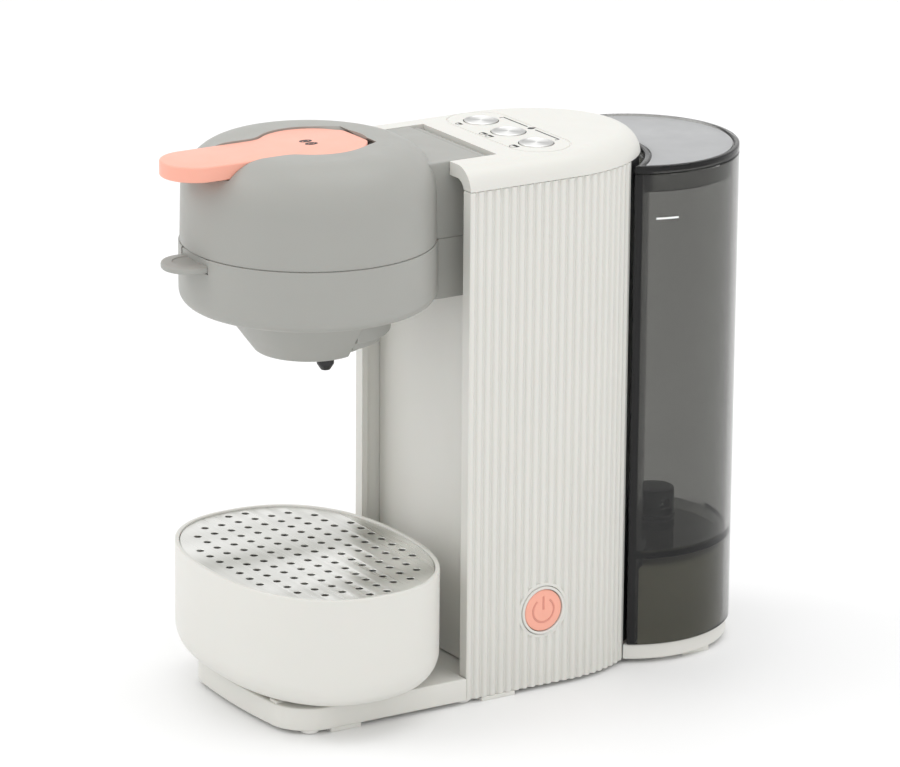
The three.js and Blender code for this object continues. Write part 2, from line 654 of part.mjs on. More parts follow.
// Conical shroud in front of the bowl, open behind, with a hole for each nozzle.
function spoutCover() {
  const { topRadius, bottomRadius, bottom, cutY, bowlY } = spout;
  const top = head.bottom - GAP;
  const corner = arc(bottomRadius - 3, bottom + 3, 3, -90, -35, 2);
  const outer = turned([[0, bottom], ...corner, [topRadius, top], [0, top]]);
  const low = bottom + 2;
  const innerLine = [[0, low], [bottomRadius - 4, low], [topRadius - 2.6, top + 1], [0, top + 1]];
  const inner = turned(innerLine, 0, 0, 28);
  const behind = block(-FAR, FAR, cutY, FAR, 0, FAR);
  const [foot, side, step] = [bowl.foot + 0.6, bowl.side + 0.6, bowl.step - 0.4];
  const bowlRoom = turned(
    [[0, bowl.bottom - 0.6], [foot, bowl.bottom - 0.6], [foot, step], [side, step], [side, 200], [0, 200]],
    0, bowlY, 28,
  );
  const holes = mirrored((s) => post(outlet.radius + GAP, s * outlet.x, outlet.y, 160, bottom + 3, 16));
  return cut(outer, inner, behind, bowlRoom, holes);
}

function outletNozzle(side) {
  const { radius, bore, tip, taper, collar, collarTop } = outlet;
  const profile = [
    [bore, tip], [bore + 0.6, tip], [radius, tip + taper], [radius, collar],
    [radius + 1.4, collar], [radius + 1.4, collarTop], [bore, collarTop],
  ];
  return turned(profile, side * outlet.x, outlet.y, 16);
}

// ---------- lid, lever and latch ----------
// The lever's plan: a disc with a narrower round-ended handle, joined by two hollow curves.
function leverOutline(grow) {
  const r = lever.disc + grow;
  const half = lever.half + grow;
  const blend = lever.blend - grow;
  const reach = Math.sqrt((r + blend) ** 2 - (half + blend) ** 2);
  const meet = Math.atan2(-reach, half + blend);
  return new THREE.Shape()
    .absarc(0, lever.y, r, meet, Math.PI - meet, false)
    .absarc(-half - blend, lever.y - reach, blend, -meet, 0, true)
    .lineTo(-half, lever.tipY)
    .absarc(0, lever.tipY, half, Math.PI, 2 * Math.PI, false)
    .absarc(half + blend, lever.y - reach, blend, Math.PI, Math.PI + meet, true);
}

// The lever's body, ending in a round curl about its pin, at a clearance all round.
function leverBody(clearance) {
  const { bottom, top, pinY, pinZ, curl } = lever;
  const plan = prism(leverOutline(clearance), bottom - clearance, top + clearance, 12);
  const ahead = block(-FAR, FAR, -FAR, pinY, 0, FAR);
  const curledEnd = barX(curl + clearance, -FAR, FAR, pinY, pinZ, 24);
  return plan.intersect(join(ahead, curledEnd));
}

const leverPiece = () => cut(leverBody(0), barX(lever.pin + GAP, -FAR, FAR, lever.pinY, lever.pinZ));

// Open recess that the closed lever lies in.
const leverRecess = () =>
  prism(leverOutline(lever.clearance), lever.bottom - lever.clearance, FAR, 12);

// Room for the lever through the whole of its swing.
function leverSwing() {
  const { clearance, swing, pinY, pinZ } = lever;
  const body = leverBody(clearance).translate([0, -pinY, -pinZ]);
  const steps = 4;
  return Array.from({ length: steps + 1 }, (_, i) =>
    body.rotate([(-swing * i) / steps, 0, 0]).translate([0, pinY, pinZ]),
  );
}

// The outside of the dome, grown by a clearance when it makes room for itself.
function domeOutside(clearance = 0) {
  const { radius, bottom, top, flat, shoulder } = lid;
  const shoulderArc = arc(flat, top - shoulder, shoulder + clearance, 0, 90, 6);
  const low = bottom - clearance;
  return turned(
    [[0, low], [radius + clearance, low], ...shoulderArc, [0, top + clearance]],
    0, 0, 40,
  );
}

function lidDome() {
  const { radius, drafted, bottom, top, flat, shoulder, ceiling } = lid;
  const innerArc = arc(flat + 3, top - shoulder - 6, 16.5, 15, 75, 3);
  const low = bottom - 1;
  const inside = turned(
    [[0, low], [radius - WALL, low], [drafted - WALL, 236], ...innerArc, [flat - 6, ceiling], [0, ceiling]],
    0, 0, 28,
  );
  return cut(domeOutside(), inside);
}

// Hollow arm fixed to the back of the dome, with the hinge barrel at its end.
function lidArm() {
  const { half, front, top } = neck;
  const end = hinge.y - hinge.knuckle;
  const inner = half - WALL;
  const box = block(-half, half, front, end, lid.bottom, top);
  const barrel = barX(hinge.knuckle, -half, half, hinge.y, hinge.z, 20);
  const web = block(-half, half, end - 1, hinge.y, hinge.z - hinge.knuckle, hinge.z + 2);
  const hollow = block(-inner, inner, front, end - WALL, 0, top - WALL);
  const pinHole = barX(hinge.pin + 0.4, -FAR, FAR, hinge.y, hinge.z);
  return cut(join(box, barrel, web), hollow, domeOutside(GAP), pinHole);
}

function lidShell() {
  const { pin, pinEnd, pinY, pinZ, lugInner } = latch;
  const lugs = mirrored((side) => sideBlock(side, lugInner, pinEnd, -46, -41, 235, 255));
  const latchLugs = cut(lugs, barX(pin + 0.05, -FAR, FAR, pinY, pinZ));
  return cut(
    join(lidDome(), latchLugs),
    leverRecess(),
    ...leverSwing(),
    barX(lever.pin + 0.15, -16.5, 16.5, lever.pinY, lever.pinZ),
  );
}

// Liner under the dome that carries the shower plate and the pod seal.
function lidLiner() {
  const [inner, low] = [6, seal.top + 0.4];
  const skirt = [[36, low], [36, low - 3], [38, low - 3], [38, low + 3], [34, low + 5]];
  const cone = [[30, 250], [28, 250], [31, low + 3]];
  return turned([[inner, low], ...skirt, ...cone, [inner, low + 3]], 0, 0, 28);
}

const showerPlate = () => post(28, 0, 0, seal.top - 3, seal.top, 32);

const podSeal = () =>
  turned(
    [[seal.inner, seal.bottom], [seal.outer, seal.bottom], [seal.outer, seal.top], [seal.inner, seal.top]],
    0, 0, 36,
  );

const hingePin = () => barX(hinge.pin, -hinge.pinEnd, hinge.pinEnd, hinge.y, hinge.z);
const leverPin = () => barX(lever.pin, -16, 16, lever.pinY, lever.pinZ);
const latchPin = () => barX(latch.pin, -latch.pinEnd, latch.pinEnd, latch.pinY, latch.pinZ);

// Bar balanced about its pin, with a hook hanging from each end.
function latchBar() {
  const { x, pin, pinY, pinZ, front, rear, hookTop, hookBottom } = latch;
  const [near, distant] = [x - 3, x + 3];
  const hooks = mirrored((side) =>
    join(
      sideBlock(side, near, distant, front, front + 2, hookBottom, pinZ + 1),
      sideBlock(side, near, distant, front, front + 3.1, hookBottom, hookTop),
    ),
  );
  const bar = block(-distant, distant, front, rear, pinZ - 2.5, pinZ + 2.5);
  const insideDome = post(52.2, 0, 0, 200, 250, 32);
  return cut(join(hooks, bar).intersect(insideDome), barX(pin + 0.15, -FAR, FAR, pinY, pinZ));
}

// ---------- drip tray ----------
function trayOutside() {
  const { bottom, top, fillet } = tray;
  const corner = arc(0, 0, 1, 90, 0, 4);
  const rings = corner.map(([c]) => trayOutline(fillet * (1 - c) + 0.6));
  const heights = corner.map(([, s]) => bottom + fillet * (1 - s));
  return loft([...rings, trayOutline(0)], [...heights, top]);
}

function trayInside(seat) {
  const { bottom, fillet, wall, top } = tray;
  const radius = fillet - wall;
  const corner = arc(0, 0, 1, 90, 0, 4);
  const rings = corner.map(([c]) => trayOutline(wall + 0.6 + radius * (1 - c)));
  const heights = corner.map(([, s]) => bottom + wall + radius * (1 - s));
  const ledge = wall + 2;
  rings.push(trayOutline(wall), trayOutline(ledge), trayOutline(ledge));
  heights.push(seat - 8, seat - 4, top + 5);
  return loft(rings, heights);
}

function dripTray() {
  const seat = grille.top - grille.thick - GAP;
  const grilleRoom = prism(trayOutline(grille.inset - GAP), seat, tray.top + 5);
  return cut(trayOutside(), trayInside(seat), grilleRoom);
}

function dripGrille() {
  const shape = new THREE.Shape(trayOutline(grille.inset));
  const [half, depth] = [tray.half - grille.margin, tray.depth - grille.margin];
  const inside = (x, y) => Math.abs(x / half) ** tray.power + Math.abs(y / depth) ** tray.power < 1;
  const reach = Math.floor(tray.half / grille.pitchX);
  for (let i = -reach; i <= reach; i++)
    for (let j = -reach; j <= reach; j++) {
      const [x, y] = [i * grille.pitchX, (j + 0.5) * grille.pitchY];
      const hole = new THREE.Path().absarc(x, tray.y + y, grille.hole, 0, 2 * Math.PI, true);
      if (inside(x, y)) shape.holes.push(hole);
    }
  return prism(shape, grille.top - grille.thick, grille.top, 3);
}

// ---------- water tank ----------
function tankBody() {
  const { wall, floor, bottom, top } = tank;
  const room = tankSection(wall, floor + wall, top + 1);
  const under = tankSection(wall, bottom - 1, floor);
  return cut(tankSection(0, bottom, top), room, under, post(valve.hole, 0, valve.y, 40, 60, 16));
}

// Dished lid with a plug that fits inside the tank's mouth.
function tankLidPiece() {
  const { bottom, top, rim, dish, skirt, plugWall } = tankLid;
  const plate = cut(tankSection(0, bottom, top), tankSection(rim, top - dish, top + 1));
  const outer = tank.wall + 0.6;
  const plug = tankSection(outer, skirt, bottom + 0.5);
  return join(plate, cut(plug, tankSection(outer + plugWall, skirt - 1, bottom)));
}

function valveBody() {
  const { bore, hole, flange } = valve;
  const [neckRadius, low, seat] = [hole - 0.4, tank.floor - 1, tank.floor + tank.wall + GAP];
  const top = seat + 2.4;
  const profile = [
    [bore, low], [neckRadius, low], [neckRadius, seat], [flange, seat], [flange, top], [bore, top],
  ];
  return turned(profile, 0, valve.y, 20);
}

function valvePlunger() {
  const [low, face, radius] = [51.6, 57.6, 6];
  const { stem } = valve;
  const profile = [[0, low], [stem, low], [stem, face], [radius, face], [radius, face + 2], [0, face + 2]];
  return turned(profile, 0, valve.y, 16);
}

// Cap over the plunger with four side windows for the water.
function valveCage() {
  const [inner, outer, low, top] = [7.4, 9.6, 57.5, 70];
  const roofZ = top - 1.6;
  const profile = [[inner, low], [outer, low], [outer, top], [0, top], [0, roofZ], [inner, roofZ]];
  const [half, reach] = [2.5, 12];
  return cut(
    turned(profile.reverse(), 0, valve.y, 20),
    block(-reach, reach, valve.y - half, valve.y + half, 61, 66),
    block(-half, half, valve.y - reach, valve.y + reach, 61, 66),
  );
}

function valveSpring() {
  const { turns, perTurn, radius, wire, bottom, top } = spring;
  const count = turns * perTurn;
  const points = Array.from({ length: count + 1 }, (_, i) => {
    const a = (2 * Math.PI * i) / perTurn;
    return [radius * Math.cos(a), valve.y + radius * Math.sin(a), bottom + ((top - bottom) * i) / count];
  });
  return bentRod(points, wire, 1);
}

// Stub on the plinth that opens the tank's valve.
const tankSpigot = () =>
  turned([[3.2, 44], [4.6, 44], [4.6, 48.4], [8, 48.4], [8, 50.4], [3.2, 50.4]], 0, valve.y);

const spigotSeal = () => turned([[8.4, 48.4], [10, 48.4], [10, 50.8], [8.4, 50.8]], 0, valve.y, 20);

// ---------- assembly ----------
const pieces = [
  ["base_plate", basePlate, white],
  ...screwPlaces.map((place, i) => [`base_screw_${i + 1}`, () => baseScrew(place), steel]),
  ["tank_pedestal", tankPedestal, grey],
  ["tank_spigot", tankSpigot, black],
  ["spigot_seal", spigotSeal, rubber],
  ["side_panel_right", sidePanelRight, white],
  ["side_panel_left", sidePanelLeft, white],
  ["column_front_wall", frontWallPlate, white],
  ["column_rear_cover", rearCover, darkGrey],
  ["column_cap", columnCap, white],
  ["hinge_bracket", hingeBracket, steel],
  ["lid_hinge_pin", hingePin, steel],
  ["chassis", chassis, darkGrey],
  ["boiler", boiler, aluminium],
  ["pump", pump, black],
  ["pump_mount_low", () => pumpMount(pumpMounts.low), rubber],
  ["pump_mount_high", () => pumpMount(pumpMounts.high), rubber],
  ["flow_meter", flowMeter, black],
  ["control_board", controlBoard, boardGreen],
  ["key_board", keyBoard, boardGreen],
  ["power_switch", powerSwitch, black],
  ["power_bezel", powerBezel, white],
  ["cord_gland", cordGland, white],
  ...Object.entries(hoses).map(([name, points]) => [name, () => bentRod(points, hoseRadius), silicone]),
  ["head_body", headBody, grey],
  ["head_neck", headNeck, grey],
  ["pod_holder", podHolderPiece, grey],
  ["pod_sieve", podSieve, steel],
  ["brew_bowl", brewBowl, grey],
  ["spout_cover", spoutCover, grey],
  ["outlet_nozzle_left", () => outletNozzle(-1), black],
  ["outlet_nozzle_right", () => outletNozzle(1), black],
  ["lid_shell", lidShell, grey],
  ["lid_arm", lidArm, grey],
  ["lid_liner", lidLiner, grey],
  ["shower_plate", showerPlate, steel],
  ["pod_seal", podSeal, silicone],
  ["lever_pin", leverPin, steel],
  ["lever", leverPiece, coral],
  ["latch_bar", latchBar, black],
  ["latch_pin", latchPin, steel],
  ["key_one_cup", () => key(-1), steel],
  ["key_two_cups", () => key(0), steel],
  ["key_strong", () => key(1), steel],
  ["power_button", powerButton, coral],
  ["drip_tray", dripTray, white],
  ["drip_grille", dripGrille, steel],
  ["tank_body", tankBody, smoke],
  ["tank_lid", tankLidPiece, smoke],
  ["tank_valve_body", valveBody, black],
  ["tank_valve_cage", valveCage, black],
  ["tank_valve_plunger", valvePlunger, rubber],
  ["tank_valve_spring", valveSpring, steel],
];

const machine = new THREE.Group();
for (const [name, make, material] of pieces) {
  const mesh = new THREE.Mesh(geometryOf(make()), material);
  mesh.name = name;
  machine.add(mesh);
}
// The footprint runs from the lever's tip to the back of the tank.
machine.position.y = -((lever.tipY - lever.half) + (tank.y + tank.radius)) / 2;

export default machine;
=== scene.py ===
"""A pod coffee machine, dressed for rendering around its CAD frame.

Shapes are drawn in millimetres about the brew head's vertical axis, as in the CAD,
and moved into the row frame, in metres, when each piece is hung on its body.
"""

import math

import bmesh
import bpy
from mathutils import Matrix, Vector


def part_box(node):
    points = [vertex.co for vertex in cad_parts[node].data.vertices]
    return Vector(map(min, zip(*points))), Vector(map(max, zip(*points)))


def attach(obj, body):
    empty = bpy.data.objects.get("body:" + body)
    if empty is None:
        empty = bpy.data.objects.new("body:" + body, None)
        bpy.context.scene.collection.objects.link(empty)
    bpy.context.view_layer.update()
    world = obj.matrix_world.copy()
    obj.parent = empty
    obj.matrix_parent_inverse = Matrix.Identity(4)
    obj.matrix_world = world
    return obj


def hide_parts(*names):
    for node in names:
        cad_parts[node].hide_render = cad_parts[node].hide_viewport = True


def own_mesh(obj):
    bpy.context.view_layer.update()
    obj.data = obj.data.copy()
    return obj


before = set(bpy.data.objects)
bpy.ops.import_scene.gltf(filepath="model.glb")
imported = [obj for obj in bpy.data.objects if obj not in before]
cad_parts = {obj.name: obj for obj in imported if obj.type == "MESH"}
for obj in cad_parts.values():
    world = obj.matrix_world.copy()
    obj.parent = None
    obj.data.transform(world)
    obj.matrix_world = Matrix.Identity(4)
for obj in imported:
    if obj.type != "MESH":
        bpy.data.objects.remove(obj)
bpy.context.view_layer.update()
scene = bpy.context.scene

MM = 0.001
FULL = 2 * math.pi
# Clearance between neighbours, as in the CAD.
GAP = 0.3


# ---------- the CAD frame, in millimetres about the head's axis ----------
def corners(node, axis_y=0.0):
    low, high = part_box(node)
    shift = Vector((0, axis_y, 0))
    return low / MM - shift, high / MM - shift


head_low, head_high = corners("head_body")
# The head is round and centred on x = 0, so its axis is one radius behind its front.
HEAD_Y = head_low.y + head_high.x
BOX = {name: corners(name, HEAD_Y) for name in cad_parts}


def low(node):
    return BOX[node][0]


def high(node):
    return BOX[node][1]


# ---------- camera ----------
# The photograph's view, in degrees, metres and (the lens) millimetres.
VIEW_AZIMUTH, VIEW_ELEVATION, VIEW_ROLL = 58.08, 17.0, 0.47
VIEW_TARGET, VIEW_DISTANCE, FOCAL_LENGTH = Vector((0.0045, -0.0022, 0.1405)), 2.579, 222.6


def make_camera():
    azimuth, elevation = math.radians(VIEW_AZIMUTH), math.radians(VIEW_ELEVATION)
    back = Vector((
        math.sin(azimuth) * math.cos(elevation),
        -math.cos(azimuth) * math.cos(elevation),
        math.sin(elevation),
    ))
    data = bpy.data.cameras.new("camera")
    data.lens = FOCAL_LENGTH
    data.sensor_width = 36.0
    data.clip_end = 50
    camera = bpy.data.objects.new("camera", data)
    scene.collection.objects.link(camera)
    roll = Matrix.Rotation(math.radians(VIEW_ROLL), 4, "Z")
    turn = back.to_track_quat("Z", "Y").to_matrix().to_4x4() @ roll
    camera.matrix_world = Matrix.Translation(VIEW_TARGET + VIEW_DISTANCE * back) @ turn
    scene.camera = camera


make_camera()


# ---------- mesh building ----------
SMOOTH_ANGLE, BEVEL_ANGLE = math.radians(32), math.radians(40)
# Points nearer than WELD are merged; anything under TINY counts as nothing.
WELD, TINY = 1e-4, 1e-6


def shade(bm):
    """Smooth faces, with an edge kept sharp where two faces meet at a real corner."""
    for face in bm.faces:
        face.smooth = True
    for edge in bm.edges:
        edge.smooth = edge.calc_face_angle(0) < SMOOTH_ANGLE


def mesh_object(name, bm):
    bmesh.ops.remove_doubles(bm, verts=bm.verts, dist=WELD)
    bmesh.ops.recalc_face_normals(bm, faces=bm.faces)
    shade(bm)
    mesh = bpy.data.meshes.new(name)
    bm.to_mesh(mesh)
    bm.free()
    obj = bpy.data.objects.new(name, mesh)
    scene.collection.objects.link(obj)
    return obj


def applied(obj):
    """Applies obj's modifiers to its mesh and shades it again."""
    graph = bpy.context.evaluated_depsgraph_get()
    mesh = bpy.data.meshes.new_from_object(obj.evaluated_get(graph))
    bm = bmesh.new()
    bm.from_mesh(mesh)
    shade(bm)
    obj.modifiers.clear()
    obj.data = mesh
    bm.to_mesh(mesh)
    bm.free()
    return obj


def boolean(obj, cutters, operation):
    for cutter in cutters:
        step = obj.modifiers.new("boolean", "BOOLEAN")
        step.operation, step.solver, step.object = operation, "EXACT", cutter
    applied(obj)
    for cutter in cutters:
        bpy.data.objects.remove(cutter)
    return obj


def cut(obj, *cutters):
    return boolean(obj, cutters, "DIFFERENCE")


def join(obj, *others):
    return boolean(obj, others, "UNION")


def add_bevel(obj, width, segments):
    bevel = obj.modifiers.new("bevel", "BEVEL")
    bevel.width, bevel.segments = width, segments
    bevel.limit_method, bevel.angle_limit = "ANGLE", BEVEL_ANGLE


def soften(obj, width):
    add_bevel(obj, width, 3)
    return applied(obj)


def bridge(bm, a, b):
    """Faces between two closed rings of points, or a ring and a single point."""
    n = max(len(a), len(b))
    for i in range(n):
        j = (i + 1) % n
        corner = [a[i % len(a)], a[j % len(a)], b[j % len(b)], b[i % len(b)]]
        distinct = list(dict.fromkeys(corner))
        if len(distinct) > 2:
            bm.faces.new(distinct)


def revolve(name, line, x=0.0, y=0.0, segments=96):
    """A solid of revolution. The line of (radius, z) starts and ends on the axis, or closes."""
    bm = bmesh.new()
    turns = [(math.cos(FULL * i / segments), math.sin(FULL * i / segments)) for i in range(segments)]
    rings = []
    for radius, z in line:
        if radius < TINY:
            rings.append([bm.verts.new((x, y, z))])
        else:
            rings.append([bm.verts.new((x + radius * c, y + radius * s, z)) for c, s in turns])
    on_axis = line[0][0] < TINY and line[-1][0] < TINY
    following = rings[1:] if on_axis else rings[1:] + rings[:1]
    for a, b in zip(rings, following):
        bridge(bm, a, b)
    return mesh_object(name, bm)


def turned(name, line, x=0.0, y=0.0, segments=96, steps=6):
    """A solid of revolution from a line of (radius, z, corner radius)."""
    return revolve(name, rounded(line, steps), x, y, segments)


def loft(name, rings):
    """Rings of the same number of (x, y, z) points, joined in order and capped."""
    bm = bmesh.new()
    made = [[bm.verts.new(p) for p in ring] for ring in rings]
    for a, b in zip(made, made[1:]):
        bridge(bm, a, b)
    bm.faces.new(made[0])
    bm.faces.new(made[-1])
    return mesh_object(name, bm)


def curve_solid(name, curve, lift=0.0):
    """The mesh that a curve's fill and bevel make, raised by lift."""
    source = bpy.data.objects.new(name + "_path", curve)
    scene.collection.objects.link(source)
    graph = bpy.context.evaluated_depsgraph_get()
    mesh = bpy.data.meshes.new_from_object(source.evaluated_get(graph))
    bm = bmesh.new()
    bm.from_mesh(mesh)
    bmesh.ops.translate(bm, verts=bm.verts, vec=(0, 0, lift))
    bpy.data.objects.remove(source)
    bpy.data.meshes.remove(mesh)
    return mesh_object(name, bm)


def add_spline(curve, points, cyclic):
    spline = curve.splines.new("POLY")
    spline.points.add(len(points) - 1)
    spline.use_cyclic_u = cyclic
    for point, place in zip(spline.points, points):
        point.co = (*place, 1)


def slab(name, outline, bottom, top, edge=0.5, holes=(), resolution=2):
    """A flat outline with holes, raised from bottom to top, with rounded upper and lower edges."""
    curve = bpy.data.curves.new(name, "CURVE")
    curve.dimensions, curve.fill_mode = "2D", "BOTH"
    curve.extrude = (top - bottom) / 2 - edge
    curve.bevel_depth, curve.offset = edge, -edge
    curve.bevel_resolution = resolution
    for line in (outline, *holes):
        add_spline(curve, [(x, y, 0) for x, y in line], True)
    return curve_solid(name, curve, (top + bottom) / 2)


def block(name, x0, x1, y0, y1, z0, z1, edge=0.0):
    """A box from one corner to the other, with its edges rounded by edge."""
    bm = bmesh.new()
    bmesh.ops.create_cube(bm, size=1)
    size = Vector((x1 - x0, y1 - y0, z1 - z0))
    middle = Vector((x0 + x1, y0 + y1, z0 + z1)) / 2
    for vert in bm.verts:
        vert.co = Vector(a * b for a, b in zip(vert.co, size)) + middle
    obj = mesh_object(name, bm)
    return soften(obj, edge) if edge else obj


def drum(name, radius, bottom, top, x=0.0, y=0.0, segments=64):
    return revolve(name, [(0, bottom), (radius, bottom), (radius, top), (0, top)], x, y, segments)


def moved(obj, matrix):
    obj.data.transform(matrix)
    return obj


def tube(name, points, radius, sides=12, cyclic=False):
    """A round wire along the points."""
    curve = bpy.data.curves.new(name, "CURVE")
    curve.dimensions = "3D"
    curve.bevel_depth = radius
    curve.bevel_resolution = max(1, sides // 4 - 1)
    curve.use_fill_caps = not cyclic
    add_spline(curve, points, cyclic)
    return curve_solid(name, curve)


# Turns a shape drawn about Z so that its own up points along +X.
UP_TO_X = Matrix.Rotation(math.pi / 2, 4, "Y")
# Turns a shape drawn in the XY plane so that its drawing stands up, facing -Y.
STAND_UP = Matrix.Rotation(math.pi / 2, 4, "X")
# Reach of a cutter that has to pass right out of the object.
FAR = 400


def facing_x(obj, y, z):
    """Turns a shape drawn about Z to face +X, on a line through (y, z)."""
    return moved(moved(obj, UP_TO_X), Matrix.Translation((0, y, z)))


def ahead(y):
    """Everything in front of y, as a cutter."""
    return block("ahead", -FAR, FAR, -FAR, y, -FAR, FAR)


def behind(y):
    """Everything behind y, as a cutter."""
    return block("behind", -FAR, FAR, y, FAR, -FAR, FAR)


# ---------- outlines ----------
def rounded(line, steps=6):
    """A closed line of (a, b, corner radius) as plain points, each corner turned into an arc."""
    out = []
    count = len(line)
    for i, (a, b, radius) in enumerate(line):
        here = Vector((a, b))
        before = Vector(line[i - 1][:2]) - here
        after = Vector(line[(i + 1) % count][:2]) - here
        if radius <= 0 or min(before.length, after.length) < TINY:
            out.append((a, b))
            continue
        half = before.angle(after) / 2
        reach = min(radius / math.tan(half), 0.49 * before.length, 0.49 * after.length)
        radius = reach * math.tan(half)
        inwards = (before.normalized() + after.normalized()).normalized()
        centre = here + inwards * radius / math.sin(half)
        start = here + before.normalized() * reach - centre
        end = here + after.normalized() * reach - centre
        turn = math.atan2(start.x * end.y - start.y * end.x, start.dot(end))
        for k in range(steps + 1):
            c, s = math.cos(turn * k / steps), math.sin(turn * k / steps)
            out.append((centre.x + c * start.x - s * start.y, centre.y + s * start.x + c * start.y))
    return out


def arc(x, y, radius, start, end, steps):
    """Points from start to end, in degrees."""
    angles = [math.radians(start + (end - start) * i / steps) for i in range(steps + 1)]
    return [(x + radius * math.cos(a), y + radius * math.sin(a)) for a in angles]


def circle(x, y, radius, steps=24):
    return arc(x, y, radius, 0, 360 * (steps - 1) / steps, steps - 1)


COLUMN_HALF = high("side_panel_right").x
COLUMN_FRONT = low("side_panel_right").y
NOSE_Y, NOSE_DEPTH = 112.0, 59.5


def nose_point(angle, inset):
    return (
        (COLUMN_HALF - inset) * math.cos(angle),
        NOSE_Y + (NOSE_DEPTH - inset) * math.sin(angle),
    )


def column_line(inset, front, steps=72):
    """The column's plan: straight sides and a half-ellipse nose."""
    x = COLUMN_HALF - inset
    nose = [nose_point(math.pi * i / steps, inset) for i in range(steps + 1)]
    return [(-x, front), (x, front), *nose]


# Exponent of the tray's plan: 2 would be an ellipse, and more is squarer.
TRAY_POWER = 2.35


def tray_line(inset, steps=160):
    (x0, y0, _), (x1, y1, _) = BOX["drip_tray"]
    middle, half, depth = (y0 + y1) / 2, (x1 - x0) / 2 - inset, (y1 - y0) / 2 - inset
    out = []
    for i in range(steps):
        c, s = math.cos(FULL * i / steps), math.sin(FULL * i / steps)
        out.append((
            math.copysign(half * abs(c) ** (2 / TRAY_POWER), c),
            middle + math.copysign(depth * abs(s) ** (2 / TRAY_POWER), s),
        ))
    return out


TANK_RADIUS = high("tank_body").x
TANK_Y = high("tank_body").y - TANK_RADIUS
NOSE_CLEARANCE = 2.0
TANK_CORNER, LEAST_CORNER = 1.0, 0.6
VALVE_Y = 192.0


def tank_line(inset, steps=72):
    """The tank's plan: a circle hollowed to follow the column's nose, with its two corners rounded."""
    radius = TANK_RADIUS - inset
    grow = -NOSE_CLEARANCE - inset

    def outside(t):
        x, y = nose_point(t, grow)
        return math.hypot(x, y - TANK_Y) - radius

    # Halving finds the nose angle where the two lines cross.
    left, right = 0.0, math.pi / 2
    for _ in range(40):
        middle = (left + right) / 2
        left, right = (middle, right) if outside(middle) > 0 else (left, middle)
    corner = max(TANK_CORNER - inset, LEAST_CORNER)
    tip = nose_point(left, grow)
    start = math.atan2(tip[1] - TANK_Y, tip[0]) + corner / radius
    nose_start = left + corner / COLUMN_HALF
    turn, nose_turn = math.pi - 2 * start, math.pi - 2 * nose_start
    outer = [
        (radius * math.cos(a), TANK_Y + radius * math.sin(a))
        for a in (start + turn * i / steps for i in range(steps + 1))
    ]
    inner = [nose_point(math.pi - nose_start - nose_turn * i / steps, grow) for i in range(steps + 1)]

    def blend(a, b, side):
        c = (side * tip[0], tip[1])
        return [
            tuple((1 - t) ** 2 * p + 2 * t * (1 - t) * q + t * t * r for p, q, r in zip(a, c, b))
            for t in (k / 6 for k in range(1, 6))
        ]

    return outer + blend(outer[-1], inner[0], -1) + inner + blend(inner[-1], outer[0], 1)


def ring_at(line, z):
    return [(x, y, z) for x, y in line]


def quarter(radius, steps, rising=True):
    """(amount drawn in, height) pairs along an edge rounded by radius, upwards or downwards."""
    angles = [math.pi / 2 * i / steps for i in range(steps + 1)]
    pairs = [(1 - math.cos(a), math.sin(a)) for a in angles]
    return [(radius * a, radius * b) for a, b in (pairs if rising else reversed(pairs))]


# ---------- materials ----------
class Material:
    """A Principled material with a few node shortcuts."""

    def __init__(self, name, colour, roughness, metallic=0.0):
        self.data = bpy.data.materials.new(name)
        self.data.use_nodes = True
        self.tree = self.data.node_tree
        self.shader = self.tree.nodes["Principled BSDF"]
        self.colour = colour
        self.set("Base Color", (*colour, 1))
        self.set("Roughness", roughness)
        self.set("Metallic", metallic)
        self.place = self.node("ShaderNodeTexCoord").outputs["Object"]

    def node(self, kind, **settings):
        made = self.tree.nodes.new(kind)
        for key, value in settings.items():
            setattr(made, key, value)
        return made

    def set(self, socket, value):
        self.shader.inputs[socket].default_value = value

    def link(self, output, target):
        self.tree.links.new(output, target)

    def stretched(self, x, y, z):
        mapping = self.node("ShaderNodeMapping")
        mapping.inputs["Scale"].default_value = (x, y, z)
        self.link(self.place, mapping.inputs["Vector"])
        return mapping.outputs["Vector"]

    def noise(self, scale, detail=2.0, vector=None):
        made = self.node("ShaderNodeTexNoise")
        made.inputs["Scale"].default_value = scale
        made.inputs["Detail"].default_value = detail
        self.link(vector or self.place, made.inputs["Vector"])
        return made.outputs["Fac"]

    def ranged(self, value, low_value, high_value):
        made = self.node("ShaderNodeMapRange")
        made.inputs["From Min"].default_value = 0.3
        made.inputs["From Max"].default_value = 0.7
        made.inputs["To Min"].default_value = low_value
        made.inputs["To Max"].default_value = high_value
        self.link(value, made.inputs["Value"])
        return made.outputs["Result"]

    def vary_colour(self, value, other):
        mix = self.node("ShaderNodeMix", data_type="RGBA")
        mix.inputs["A"].default_value = (*self.colour, 1)
        mix.inputs["B"].default_value = (*other, 1)
        self.link(value, mix.inputs["Factor"])
        self.link(mix.outputs["Result"], self.shader.inputs["Base Color"])

    def vary_roughness(self, value, low_value, high_value):
        self.link(self.ranged(value, low_value, high_value), self.shader.inputs["Roughness"])

    def bump(self, value, strength, distance):
        made = self.node("ShaderNodeBump")
        made.inputs["Strength"].default_value = strength
        made.inputs["Distance"].default_value = distance
        self.link(value, made.inputs["Height"])
        self.link(made.outputs["Normal"], self.shader.inputs["Normal"])


def linear(red, green, blue):
    """An sRGB colour, 0 to 255, in the linear values the shader takes."""
    shares = [v / 255 for v in (red, green, blue)]
    return tuple(v / 12.92 if v < 0.04045 else ((v + 0.055) / 1.055) ** 2.4 for v in shares)


def darker(colour, share):
    return tuple(v * share for v in colour)


